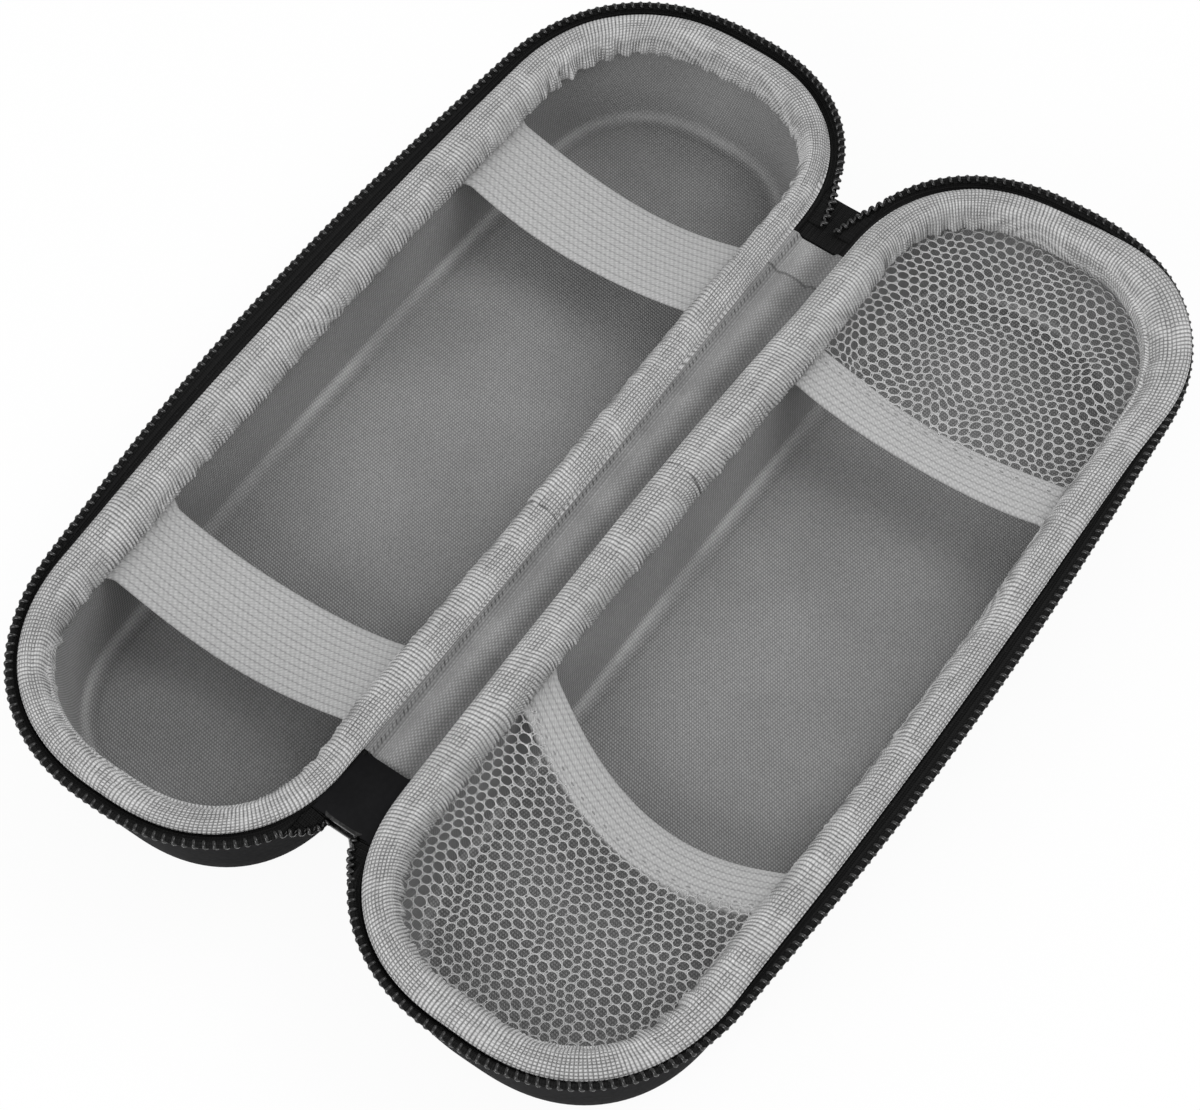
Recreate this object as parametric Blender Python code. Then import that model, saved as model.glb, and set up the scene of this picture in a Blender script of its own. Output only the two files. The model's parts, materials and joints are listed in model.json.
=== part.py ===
"""Toothbrush travel case: a moulded zip case lying open, base shell at -X and lid shell at +X.

Metres, +Z up, +Y along the case. The origin is on the table under the middle of the fabric hinge.
"""

import math

import bmesh
import bpy
from mathutils import Matrix, Vector

MM = 0.001

# Rim outline of one shell, where the binding's outer edge lies
HALF_LENGTH = 112.0 * MM
END_WIDTH = 72.5 * MM
END_FLAT = 3.4 * MM
OUTER_CORNER_SHARE = 0.52
CORNER_POWER = 2.29
OUTER_BOW = 3.6 * MM
HINGE_BOW = 1.8 * MM
CORNER_STEPS = 8
SIDE_STEPS = 4

# Moulded wall: skin outside, foam, lining inside
SHELL_DEPTH = 30.0 * MM
OUTER_DRAFT = 4.3 * MM
HINGE_DRAFT = 5.8 * MM
FLOOR_FILLET = 7.5 * MM
SKIN_THICKNESS = 0.9 * MM
FOAM_THICKNESS = 3.0 * MM
LINING_THICKNESS = 0.6 * MM
SEAT_GAP = 0.3 * MM
WALL_TOP_DROP = 1.0 * MM
FILLET_STEPS = 3

# Binding roll over the rim
BINDING_WIDTH = 7.6 * MM
BINDING_RISE = 2.5 * MM
BINDING_DROP = 4.0 * MM
BINDING_SHARES = [(0.0, 0.17), (0.09, 0.67), (0.33, 0.98), (0.62, 0.93), (0.85, 0.45), (0.97, -0.45)]
BINDING_LIP_SHARE = 0.98

# Zip tape and coil
TAPE_THICKNESS = 0.5 * MM
TAPE_TUCK = 4.0 * MM
TAPE_BEND = 0.2 * MM
COIL_PITCH = 2.5 * MM
COIL_WIDTH = 2.4 * MM
COIL_HEIGHT = 2.1 * MM
COIL_OUT = 4.0 * MM
COIL_OUT_AT_END = 2.2 * MM
COIL_RISE = 1.2 * MM
COIL_RISE_AT_END = 0.4 * MM
COIL_GROOVE_SHARE = 0.62
COIL_CORNER_SHARE = 0.85
COIL_END_GAP = 0.9 * MM
ROW_SPREAD = 14.0 * MM

# Fabric hinge between the shells, with its ends set back from the ends of the case
FOLD_SPACING = 9.0 * MM
INNER_WEB_THICKNESS = 0.5 * MM
INNER_WEB_DROP = 1.1 * MM
INNER_WEB_SETBACK = 36.7 * MM
OUTER_WEB_THICKNESS = 0.8 * MM
OUTER_WEB_FAR_LEDGE = 12.7 * MM
OUTER_WEB_NEAR_LEDGE = 3.7 * MM
WEB_STEPS = 16

# Rows of the zip where they close up on the hinge
FAR_ROW_LEAD = 5.0 * MM
FAR_TAIL_LEDGE = 4.1 * MM
FAR_TAIL_LOW_X = 3.3 * MM
FAR_TAIL_LOW_LEAD = 2.2 * MM
FAR_TAIL_RISE = 0.1 * MM
NEAR_TAIL_GAP = 1.0 * MM
CLOSED_RUN = 6.0 * MM
SLIDER_RUN = 2.5 * MM
NEAR_ROW_LEAD = 7.2 * MM
NEAR_TAIL_MOUTH_X = 3.3 * MM
NEAR_TAIL_SPREAD = 1.5 * MM
NEAR_TAIL_DROP = 2.15 * MM
TAIL_STEPS = 24

# Patch over the near end of the zip, short of the slider's mouth
PATCH_RISE = 1.9 * MM
PATCH_EDGE_RISE = 0.5 * MM
PATCH_HALF_WIDTH = 4.6 * MM
SLIDER_SHOWING = 1.2 * MM
PATCH_STEPS = 6
PATCH_NOSE_STEPS = 3

# Slider and its pull tab
SLIDER_LENGTH = 8.8 * MM
SLIDER_MOUTH_WIDTH = 8.6 * MM
SLIDER_TAIL_WIDTH = 7.0 * MM
SLIDER_PLATE = 0.7 * MM
SLIDER_CLEARANCE = 0.25 * MM
SLIDER_FLANGE_LENGTH = 2.4 * MM
SLIDER_FLANGE_WIDTH = 0.6 * MM
SLIDER_NECK_WIDTH = 1.5 * MM
SLIDER_NECK_LENGTH = 1.3 * MM
SLIDER_NECK_RUN = 2.9 * MM
SLIDER_NOSE = 0.6 * MM
CROWN_WIDTH = 1.4 * MM
CROWN_LENGTH = 5.0 * MM
CROWN_HEIGHT = 2.6 * MM
CROWN_BAR = 0.8 * MM
PULL_BAR = 0.9 * MM
PULL_EYE_WIDTH = 2.3 * MM
PULL_EYE_LENGTH = 3.0 * MM
PULL_ARM = 1.0 * MM
PULL_LENGTH = 17.0 * MM
PULL_WIDTH = 5.6 * MM
PULL_ROUND = 1.3 * MM
JOIN_OVERLAP = 0.1 * MM

# Elastic straps in the base, set in from the ends of the case
STRAP_WIDTH = 20.5 * MM
STRAP_THICKNESS = 1.1 * MM
STRAP_SAG = 8.9 * MM
NEAR_STRAP_SETBACK = 49.0 * MM
FAR_STRAP_SETBACK = 56.4 * MM
BAND_STEPS = 14

# Mesh pockets in the lid, with their openings set in from the ends of the case
TRIM_WIDTH = 10.6 * MM
TRIM_THICKNESS = 1.2 * MM
FAR_TRIM_SETBACK = 63.2 * MM
FAR_TRIM_SAG = 3.9 * MM
NEAR_TRIM_SETBACK = 57.0 * MM
NEAR_TRIM_SLANT = 9.4 * MM
NEAR_TRIM_SAG = 9.9 * MM
NEAR_TRIM_BOW = 4.0 * MM
NET_THICKNESS = 0.6 * MM
NET_PITCH = 6.6 * MM
NET_STRAND = 1.3 * MM
NET_MARGIN = 0.9 * MM
NET_LEAST_HOLE_SHARE = 0.22
NET_FALL_POWER = 1.3

# Values that the sizes above lead to
WALL = SKIN_THICKNESS + FOAM_THICKNESS + LINING_THICKNESS + 2 * SEAT_GAP
HINGE_SIDE_X = FOLD_SPACING / 2 + HINGE_BOW
OUTER_CORNER = (END_WIDTH - END_FLAT) * OUTER_CORNER_SHARE
HINGE_CORNER = END_WIDTH - END_FLAT - OUTER_CORNER
MEAN_DRAFT = (OUTER_DRAFT + HINGE_DRAFT) / 2
DRAFT_SHIFT = (HINGE_DRAFT - OUTER_DRAFT) / 2
WALL_SLOPE = MEAN_DRAFT / SHELL_DEPTH
WALL_ANGLE = math.atan(WALL_SLOPE)
TAPE_TOP = -WALL_TOP_DROP + SEAT_GAP + TAPE_THICKNESS
BINDING_SEAT = TAPE_TOP + SEAT_GAP
BAND_TOP = -BINDING_DROP - SEAT_GAP
INNER_WEB_HALF = HALF_LENGTH - INNER_WEB_SETBACK
OUTER_WEB_FAR = INNER_WEB_HALF + OUTER_WEB_FAR_LEDGE
OUTER_WEB_NEAR = INNER_WEB_HALF + OUTER_WEB_NEAR_LEDGE
FAR_ROW_START = OUTER_WEB_FAR + FAR_ROW_LEAD
FAR_TAIL_JOIN = INNER_WEB_HALF + FAR_TAIL_LEDGE
NEAR_TAIL_JOIN = OUTER_WEB_NEAR + NEAR_TAIL_GAP
NEAR_TAIL_SPLIT = NEAR_TAIL_JOIN + CLOSED_RUN
SLIDER_MOUTH_Y = -(NEAR_TAIL_SPLIT + SLIDER_NECK_RUN + SLIDER_NECK_LENGTH + SLIDER_NOSE)
PATCH_END = -SLIDER_MOUTH_Y - SLIDER_SHOWING
NEAR_ROW_START = -SLIDER_MOUTH_Y + NEAR_ROW_LEAD
TAIL_JOIN_X = COIL_WIDTH / 2 + SEAT_GAP / 2


def fresh_collection(name):
    """Give an empty collection linked to the scene."""
    collection = bpy.data.collections.new(name)
    bpy.context.scene.collection.children.link(collection)
    return collection


def material(name, color, roughness, metallic=0.0):
    """Give a Principled material of one colour."""
    made = bpy.data.materials.new(name)
    made.use_nodes = True
    shader = made.node_tree.nodes["Principled BSDF"]
    shader.inputs["Base Color"].default_value = (*color, 1.0)
    shader.inputs["Roughness"].default_value = roughness
    shader.inputs["Metallic"].default_value = metallic
    made.diffuse_color = (*color, 1.0)
    return made


def place(name, mesh, finish, home):
    """Put a mesh in a collection as a named object with its finish."""
    mesh.name = name
    mesh.materials.clear()
    mesh.materials.append(finish)
    thing = bpy.data.objects.new(name, mesh)
    home.objects.link(thing)
    return thing


def loft(name, rings, finish, home, ring_closed=False):
    """Skin a row of equal rings: capped at both ends, or joined last to first."""
    bm = bmesh.new()
    rows = [[bm.verts.new(point) for point in ring] for ring in rings]
    pairs = list(zip(rows, rows[1:]))
    if ring_closed:
        pairs.append((rows[-1], rows[0]))
    count = len(rows[0])
    for low, high in pairs:
        for i in range(count):
            j = (i + 1) % count
            bm.faces.new((low[i], low[j], high[j], high[i]))
    if not ring_closed:
        bm.faces.new(rows[0])
        bm.faces.new(rows[-1])
    bmesh.ops.recalc_face_normals(bm, faces=bm.faces)
    mesh = bpy.data.meshes.new(name)
    bm.to_mesh(mesh)
    bm.free()
    mesh.shade_smooth()
    mesh.set_sharp_from_angle(angle=math.radians(35))
    return place(name, mesh, finish, home)


def flat_mesh(loops, thickness):
    """Give the mesh of a flat plate in XY with holes, from closed loops of (x, y) points."""
    curve = bpy.data.curves.new("outline", "CURVE")
    curve.dimensions = "2D"
    curve.fill_mode = "BOTH"
    curve.extrude = thickness / 2
    for loop in loops:
        spline = curve.splines.new("POLY")
        spline.points.add(len(loop) - 1)
        for point, (x, y) in zip(spline.points, loop):
            point.co = (x, y, 0, 1)
        spline.use_cyclic_u = True
    guide = bpy.data.objects.new("outline", curve)
    bpy.context.scene.collection.objects.link(guide)
    bpy.context.view_layer.update()
    mesh = bpy.data.meshes.new_from_object(guide.evaluated_get(bpy.context.evaluated_depsgraph_get()))
    bpy.data.objects.remove(guide)
    bm = bmesh.new()
    bm.from_mesh(mesh)
    bmesh.ops.remove_doubles(bm, verts=bm.verts, dist=SEAT_GAP / 100)
    bmesh.ops.recalc_face_normals(bm, faces=bm.faces)
    bm.to_mesh(mesh)
    bm.free()
    return mesh


def axis_empty(name, x, y, z, parent, home):
    """Put an empty on a joint's axis."""
    empty = bpy.data.objects.new(name, None)
    home.objects.link(empty)
    empty.parent = parent
    held = parent.matrix_world.translation if parent else Vector((0, 0, 0))
    empty.location = Vector((x, y, z)) - held
    bpy.context.view_layer.update()
    return empty


def hang(things, empty):
    """Parent objects to an empty and leave them where they are."""
    for thing in things:
        thing.parent = empty
        thing.matrix_parent_inverse = empty.matrix_world.inverted()


def corner(radius):
    """Give the points of a soft corner from its side to its end, as distances in from both."""
    points = []
    for step in range(CORNER_STEPS + 1):
        turn = math.pi / 2 * step / CORNER_STEPS
        across = math.cos(turn) ** (2 / CORNER_POWER) if step < CORNER_STEPS else 0.0
        along = math.sin(turn) ** (2 / CORNER_POWER) if step else 0.0
        points.append((radius * (1 - across), radius * (1 - along)))
    return points


def rim_points(steps=1):
    """Give the lid's rim outline as (x, y) points, anticlockwise from the near end of the outer side."""
    outer_x = HINGE_SIDE_X + END_WIDTH
    outer = [(outer_x - a, HALF_LENGTH - b) for a, b in corner(OUTER_CORNER)]
    hinge = [(HINGE_SIDE_X + a, HALF_LENGTH - b) for a, b in corner(HINGE_CORNER)]
    far = outer + hinge[::-1]
    near = [(x, -y) for x, y in far[::-1]]
    points = straight(near[-1], far[0]) + far + straight(far[-1], near[0]) + near
    middle = HINGE_SIDE_X + END_WIDTH / 2
    bowed = []
    for x, y in points:
        bow = OUTER_BOW if x > middle else HINGE_BOW
        side_share = (x - middle) / (END_WIDTH / 2)
        bowed.append((x + bow * side_share * (1 - (y / HALF_LENGTH) ** 2), y))
    if steps == 1:
        return bowed
    return smooth_loop(bowed, steps)


def straight(start, end):
    """Give the points between two ends of a side, without the ends."""
    shares = [step / SIDE_STEPS for step in range(1, SIDE_STEPS)]
    return [(start[0] + (end[0] - start[0]) * s, start[1] + (end[1] - start[1]) * s) for s in shares]


def smooth_loop(points, steps):
    """Run a smooth closed curve through points, with so many steps between each two."""
    count = len(points)
    made = []
    for i in range(count):
        around = [Vector(points[(i + k) % count]) for k in (-1, 0, 1, 2)]
        made += [catmull(around, step / steps) for step in range(steps)]
    return [tuple(point) for point in made]


def catmull(around, share):
    """Give a point between the middle two of four, on a curve through them all."""
    before, start, end, after = around
    chord = (end - start).length
    lead_in = (end - before) * chord / ((end - start).length + (start - before).length)
    lead_out = (after - start) * chord / ((after - end).length + (end - start).length)
    square, cube = share**2, share**3
    return (
        start * (2 * cube - 3 * square + 1)
        + lead_in * (cube - 2 * square + share)
        + end * (3 * square - 2 * cube)
        + lead_out * (cube - square)
    )


def inward(points):
    """Give, for each point of a loop, the way in from it that keeps every facet parallel."""
    ways = []
    count = len(points)
    for i in range(count):
        back = Vector(points[i]) - Vector(points[i - 1])
        ahead = Vector(points[(i + 1) % count]) - Vector(points[i])
        first = Vector((-back.y, back.x)).normalized()
        second = Vector((-ahead.y, ahead.x)).normalized()
        way = (first + second).normalized()
        ways.append(way / way.dot(first))
    return ways


RIM = rim_points()
RIM_IN = inward(RIM)


def rim_ring(side, inset, height, share_down=0.0):
    """Give the rim outline moved in by an inset, at a height from the rim plane."""
    shift = DRAFT_SHIFT * share_down
    return [
        (side * (x + way.x * inset + shift), y + way.y * inset, SHELL_DEPTH + height)
        for (x, y), way in zip(RIM, RIM_IN)
    ]


def rim_x(y, outer_side):
    """Give where the rim outline crosses a line across the case, on one of its long sides."""
    middle = HINGE_SIDE_X + END_WIDTH / 2
    crossings = []
    for (x0, y0), (x1, y1) in zip(RIM, RIM[1:] + RIM[:1]):
        if (y0 <= y) != (y1 <= y):
            x = x0 + (x1 - x0) * (y - y0) / (y1 - y0)
            if (x > middle) == outer_side:
                crossings.append(x)
    return crossings[0]


def wall_inset(depth_in_wall, height):
    """Give how far in from the rim outline a layer's surface is, at a height below the rim plane."""
    return -height * WALL_SLOPE + depth_in_wall / math.cos(WALL_ANGLE)


def layer_rings(side, depth_in_wall):
    """Give the rings of one surface of the moulded wall, from its top edge to its floor."""
    fillet = FLOOR_FILLET - depth_in_wall
    floor = -SHELL_DEPTH + depth_in_wall
    turn_total = math.pi / 2 - WALL_ANGLE
    start = floor + fillet * (1 - math.sin(WALL_ANGLE))
    top_inset = wall_inset(depth_in_wall, -WALL_TOP_DROP)
    rings = [rim_ring(side, top_inset, -WALL_TOP_DROP, WALL_TOP_DROP / SHELL_DEPTH)]
    centre = wall_inset(depth_in_wall, start) + fillet * math.cos(WALL_ANGLE)
    for step in range(FILLET_STEPS + 1):
        turn = WALL_ANGLE + turn_total * step / FILLET_STEPS
        height = floor + fillet * (1 - math.sin(turn))
        inset = centre - fillet * math.cos(turn)
        rings.append(rim_ring(side, inset, height, -height / SHELL_DEPTH))
    return rings


def moulded_layer(name, side, outside, thickness, finish, home):
    """Make one layer of the moulded wall, as a bowl with a floor."""
    inner = layer_rings(side, outside + thickness)
    outer = layer_rings(side, outside)
    return loft(name, inner[::-1] + outer, finish, home)


def lip_inset():
    """Give where the binding's lip starts, clear of the lining."""
    steepest = max(OUTER_DRAFT, HINGE_DRAFT) / SHELL_DEPTH
    return BINDING_DROP * steepest + WALL / math.cos(WALL_ANGLE) + SEAT_GAP


def make_binding(name, side, finish, home):
    """Make the puffy binding roll that covers the rim all round."""
    section = [(across * BINDING_WIDTH, up * BINDING_RISE) for across, up in BINDING_SHARES]
    section.append((BINDING_LIP_SHARE * BINDING_WIDTH, -BINDING_DROP))
    section.append((lip_inset(), -BINDING_DROP))
    section.append((lip_inset(), BINDING_SEAT))
    section.append((BINDING_SHARES[1][0] * BINDING_WIDTH, BINDING_SEAT))
    rings = [rim_ring(side, inset, height) for inset, height in section]
    return loft(name, rings, finish, home, ring_closed=True)


def on_zip(y, x):
    """Say whether a point of the rim outline carries the zip and not the hinge."""
    start = FAR_ROW_START if y > 0 else NEAR_ROW_START
    return x > HINGE_SIDE_X + END_WIDTH / 2 or abs(y) > start - COIL_PITCH


def row_share(x, y):
    """Give how far a place on the rim lies from its row's end at the hinge, from 0 to 1."""
    start = FAR_ROW_START if y > 0 else NEAR_ROW_START
    if x > HINGE_SIDE_X + END_WIDTH / 2:
        return 1.0
    return min(max((abs(y) - start) / ROW_SPREAD, 0.0), 1.0)


def row_out(x, y):
    """Give how far out from the rim outline the coil row runs, less near the hinge."""
    return COIL_OUT_AT_END + (COIL_OUT - COIL_OUT_AT_END) * row_share(x, y)


def row_rise(x, y):
    """Give how high over the rim plane the coil row runs, less near the hinge."""
    return COIL_RISE_AT_END + (COIL_RISE - COIL_RISE_AT_END) * row_share(x, y)


def make_tape(name, side, finish, home):
    """Make the zip tape: tucked under the binding all round, and standing out where the coil runs."""
    rings = []
    half = TAPE_THICKNESS / 2
    for (x, y), way in zip(RIM, RIM_IN):
        edge, edge_height = 0.0, TAPE_TOP - half
        if on_zip(y, x):
            edge = -(row_out(x, y) - COIL_WIDTH / 2 - SEAT_GAP)
            edge_height = row_rise(x, y) - COIL_HEIGHT / 4
        section = [
            (TAPE_TUCK, TAPE_TOP),
            (TAPE_BEND, TAPE_TOP),
            (edge, edge_height + half),
            (edge, edge_height - half),
            (TAPE_BEND, TAPE_TOP - TAPE_THICKNESS),
            (TAPE_TUCK, TAPE_TOP - TAPE_THICKNESS),
        ]
        rings.append([(side * (x + way.x * a), y + way.y * a, SHELL_DEPTH + z) for a, z in section])
    return loft(name, rings, finish, home, ring_closed=True)


def even_points(path, step):
    """Give points at an even step along a path of vectors."""
    made = [path[0]]
    left = step
    for start, end in zip(path, path[1:]):
        length = (end - start).length
        walked = 0.0
        while length - walked >= left:
            walked += left
            made.append(start.lerp(end, walked / length))
            left = step
        left -= length - walked
    return made


def make_coil(name, side, path, finish, home, first_tooth=0):
    """Make a row of zip coil along a path: a bar whose rings swell at each tooth."""
    points = even_points(path, COIL_PITCH / 2)
    rings = []
    for i, point in enumerate(points):
        ahead = points[min(i + 1, len(points) - 1)] - points[max(i - 1, 0)]
        out = Vector((ahead.y, -ahead.x, 0)).normalized()
        up = out.cross(ahead.normalized())
        swell = 1.0 if (i + first_tooth) % 2 else COIL_GROOVE_SHARE
        wide = out * COIL_WIDTH / 2 * swell * COIL_CORNER_SHARE
        tall = up * COIL_HEIGHT / 2 * swell * COIL_CORNER_SHARE
        rings.append([point + wide + tall, point + tall - wide, point - wide - tall, point + wide - tall])
    if side < 0:
        rings = [[Vector((-p.x, p.y, p.z)) for p in ring] for ring in rings]
    return loft(name, rings, finish, home)


def row_path():
    """Give the lid's coil path round the outer side, from the far end of the hinge to the near end."""
    dense = rim_points(CORNER_STEPS)
    ways = inward(dense)
    kept = [
        Vector((x - way.x * row_out(x, y), y - way.y * row_out(x, y), SHELL_DEPTH + row_rise(x, y)))
        for (x, y), way in zip(dense, ways)
        if x > HINGE_SIDE_X + END_WIDTH / 2 or abs(y) > (FAR_ROW_START if y > 0 else NEAR_ROW_START)
    ]
    gaps = [(kept[i] - kept[i - 1]).length for i in range(len(kept))]
    first = gaps.index(max(gaps))
    ordered = kept[first:] + kept[:first]
    return ordered if ordered[0].y > 0 else ordered[::-1]


def tail_path(row_end, places):
    """Give a smooth path from a row's end through (x, y, rise) places on the hinge."""
    passed = [Vector((x, y, SHELL_DEPTH + rise)) for x, y, rise in places]
    ahead = (passed[0] - row_end).normalized()
    start = row_end + ahead * COIL_END_GAP
    knots = [start - ahead * COIL_END_GAP, start, *passed]
    knots.append(2 * knots[-1] - knots[-2])
    path = []
    for i in range(1, len(knots) - 2):
        path += [catmull(knots[i - 1 : i + 3], step / TAIL_STEPS) for step in range(TAIL_STEPS)]
    path.append(knots[-2])
    return path


def web_loop(near_y, far_y, height):
    """Give the outline of a web between the shells, clear of both at a height below the rim plane."""
    span = [near_y + (far_y - near_y) * step / WEB_STEPS for step in range(WEB_STEPS + 1)]
    inset = max(-height - WALL_TOP_DROP, 0.0) * HINGE_DRAFT / SHELL_DEPTH - SEAT_GAP
    right = [(rim_x(y, False) + inset, y) for y in span]
    return right + [(-x, y) for x, y in right[::-1]]


def make_web(name, near_y, far_y, top, thickness, finish, home):
    """Make a flat web of hinge fabric between the shells."""
    middle = top - thickness / 2
    mesh = flat_mesh([web_loop(near_y, far_y, top)], thickness)
    mesh.transform(Matrix.Translation((0, 0, SHELL_DEPTH + middle)))
    return place(name, mesh, finish, home)


def make_patch(name, start_y, finish, home):
    """Make the domed patch that covers the near end of the zip."""
    nose = PATCH_HALF_WIDTH
    rings = []
    body = PATCH_END - start_y - nose
    stations = [(start_y + body * step / 2, 1.0) for step in range(3)]
    for step in range(1, PATCH_NOSE_STEPS + 1):
        turn = math.pi / 2 * step / (PATCH_NOSE_STEPS + 1)
        stations.append((start_y + body + nose * math.sin(turn), math.cos(turn)))
    for y, width_share in stations:
        top = []
        for step in range(PATCH_STEPS + 1):
            across = 2 * step / PATCH_STEPS - 1
            rise = PATCH_EDGE_RISE + (PATCH_RISE - PATCH_EDGE_RISE) * (1 - across**2) * width_share
            top.append((across * PATCH_HALF_WIDTH * width_share, -y, SHELL_DEPTH + rise))
        under = SHELL_DEPTH + PATCH_EDGE_RISE - TAPE_THICKNESS
        rings.append([*top, (top[-1][0], -y, under), (top[0][0], -y, under)])
    return loft(name, rings, finish, home)


def union(target, other):
    """Join another object to a target with a Boolean, and hide the other as a cutter."""
    joined = target.modifiers.new("join_" + other.name, "BOOLEAN")
    joined.operation = "UNION"
    joined.solver = "EXACT"
    joined.object = other
    other.hide_render = True
    other.display_type = "WIRE"


def block(name, low, high, home):
    """Make a box between two corners."""
    mesh = bpy.data.meshes.new(name)
    bm = bmesh.new()
    bmesh.ops.create_cube(bm, size=1.0)
    size = Vector(high) - Vector(low)
    centre = Matrix.Translation((Vector(high) + Vector(low)) / 2)
    bmesh.ops.transform(bm, matrix=centre @ Matrix.Diagonal((*size, 1.0)), verts=bm.verts)
    bm.to_mesh(mesh)
    bm.free()
    thing = bpy.data.objects.new(name, mesh)
    home.objects.link(thing)
    return thing


def slider_levels():
    """Give the heights of the slider's faces and of the pull's axis, from the table."""
    row = SHELL_DEPTH - NEAR_TAIL_DROP
    reach = COIL_HEIGHT / 2 + SLIDER_CLEARANCE
    under = row - reach - SLIDER_PLATE
    window_low = under - CROWN_HEIGHT + CROWN_BAR
    return row, reach, under, (under + window_low) / 2


def slider_plate(name, level, finish, home):
    """Make one plate of the slider, wide at its mouth and slim at its tail."""
    mouth, tail = SLIDER_MOUTH_Y, SLIDER_MOUTH_Y + SLIDER_LENGTH
    wide, slim = SLIDER_MOUTH_WIDTH / 2, SLIDER_TAIL_WIDTH / 2
    half = [(wide - SLIDER_NOSE, mouth), (wide, mouth + SLIDER_NOSE), (wide, (mouth + tail) / 2)]
    half += [(slim, tail - SLIDER_NOSE), (slim - SLIDER_NOSE, tail)]
    mesh = flat_mesh([half + [(-x, y) for x, y in half[::-1]]], SLIDER_PLATE)
    mesh.transform(Matrix.Translation((0, 0, level)))
    return place(name, mesh, finish, home)


def make_crown(cutters):
    """Make the crown under the slider: a bar on two posts that the pull's eye hangs from."""
    _, _, under, _ = slider_levels()
    middle = SLIDER_MOUTH_Y + SLIDER_LENGTH / 2
    near, far = middle - CROWN_LENGTH / 2, middle + CROWN_LENGTH / 2
    low = under - CROWN_HEIGHT
    half = CROWN_WIDTH / 2
    bar = block("crown_bar", (-half, near, low), (half, far, low + CROWN_BAR), cutters)
    inside = half - JOIN_OVERLAP / 2
    post_low = low + CROWN_BAR - JOIN_OVERLAP
    post_top = under + JOIN_OVERLAP
    posts = []
    for name, start in (("near_post", near + JOIN_OVERLAP), ("far_post", far - CROWN_BAR - JOIN_OVERLAP)):
        posts.append(block(name, (-inside, start, post_low), (inside, start + CROWN_BAR, post_top), cutters))
    return [bar, *posts]


def make_slider(finish, home, cutters):
    """Make the slider: two plates round the coil, a neck, side flanges and the crown for the pull."""
    row, reach, _, _ = slider_levels()
    slider = slider_plate("zipper_slider", row - reach - SLIDER_PLATE / 2, finish, home)
    upper = slider_plate("upper_plate", row + reach + SLIDER_PLATE / 2, finish, cutters)
    low, high = row - reach - JOIN_OVERLAP, row + reach + JOIN_OVERLAP
    neck_y = SLIDER_MOUTH_Y + SLIDER_NOSE
    neck_half = SLIDER_NECK_WIDTH / 2
    neck = block("neck", (-neck_half, neck_y, low), (neck_half, neck_y + SLIDER_NECK_LENGTH, high), cutters)
    outer = SLIDER_TAIL_WIDTH / 2
    end_y = SLIDER_MOUTH_Y + SLIDER_LENGTH - SLIDER_NOSE
    flanges = []
    for name, left in (("left_flange", -outer), ("right_flange", outer - SLIDER_FLANGE_WIDTH)):
        start = (left, end_y - SLIDER_FLANGE_LENGTH, low)
        flanges.append(block(name, start, (left + SLIDER_FLANGE_WIDTH, end_y, high), cutters))
    for part in [upper, neck, *flanges, *make_crown(cutters)]:
        union(slider, part)
    return slider


def make_pull(finish, home):
    """Make the pull tab hanging from the slider's crown by the bar over its eye."""
    _, _, _, axis = slider_levels()
    top = axis + PULL_BAR / 2
    eye_low = axis - PULL_BAR / 2 - PULL_EYE_LENGTH
    bottom = axis - PULL_LENGTH
    neck = PULL_EYE_WIDTH / 2 + PULL_ARM
    wide = PULL_WIDTH / 2
    half = [(neck, top), (neck, eye_low), (wide, eye_low - PULL_ROUND)]
    half += [(wide, bottom + PULL_ROUND), (wide - PULL_ROUND, bottom)]
    loop = half + [(-x, z) for x, z in half[::-1]]
    eye = PULL_EYE_WIDTH / 2
    hole = [(eye, axis - PULL_BAR / 2), (eye, eye_low), (-eye, eye_low), (-eye, axis - PULL_BAR / 2)]
    mesh = flat_mesh([loop, hole], PULL_BAR)
    crown_y = SLIDER_MOUTH_Y + SLIDER_LENGTH / 2
    mesh.transform(Matrix.Translation((0, crown_y, 0)) @ Matrix.Rotation(math.pi / 2, 4, "X"))
    return place("pull_tab", mesh, finish, home)


def band_end(y, outer_side, thickness):
    """Give where a band's end stands, just clear of the lining under the binding."""
    low = BAND_TOP - thickness
    draft = OUTER_DRAFT if outer_side else HINGE_DRAFT
    inset = WALL / math.cos(WALL_ANGLE) - low * draft / SHELL_DEPTH + SEAT_GAP
    return rim_x(y, outer_side) + (-inset if outer_side else inset)


def band_line(hinge_y, outer_y, sag, bow, thickness, half_width):
    """Give a function from a share across the cavity to a band's middle point (x, y, height)."""
    start = max(band_end(hinge_y + edge, False, thickness) for edge in (-half_width, half_width))
    end = min(band_end(outer_y + edge, True, thickness) for edge in (-half_width, half_width))

    def at(share):
        drop = 4 * share * (1 - share)
        y = hinge_y + (outer_y - hinge_y) * share - bow * drop
        return (start + (end - start) * share, y, BAND_TOP - sag * drop)

    return at


def make_band(name, side, line, width, thickness, finish, home):
    """Make an elastic band across a cavity, sagging between its two sewn ends."""
    rings = []
    for step in range(BAND_STEPS + 1):
        x, y, height = line(step / BAND_STEPS)
        near, far = y - width / 2, y + width / 2
        top = SHELL_DEPTH + height
        low = top - thickness
        rings.append([(side * x, *edge) for edge in ((near, top), (far, top), (far, low), (near, low))])
    return loft(name, rings, finish, home)


def hexagon(x, y):
    """Give the corners of one hole of the net."""
    radius = (NET_PITCH - NET_STRAND) / math.sqrt(3)
    turns = [math.pi / 3 * k + math.pi / 6 for k in range(6)]
    return [(x + radius * math.cos(turn), y + radius * math.sin(turn)) for turn in turns]


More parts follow.
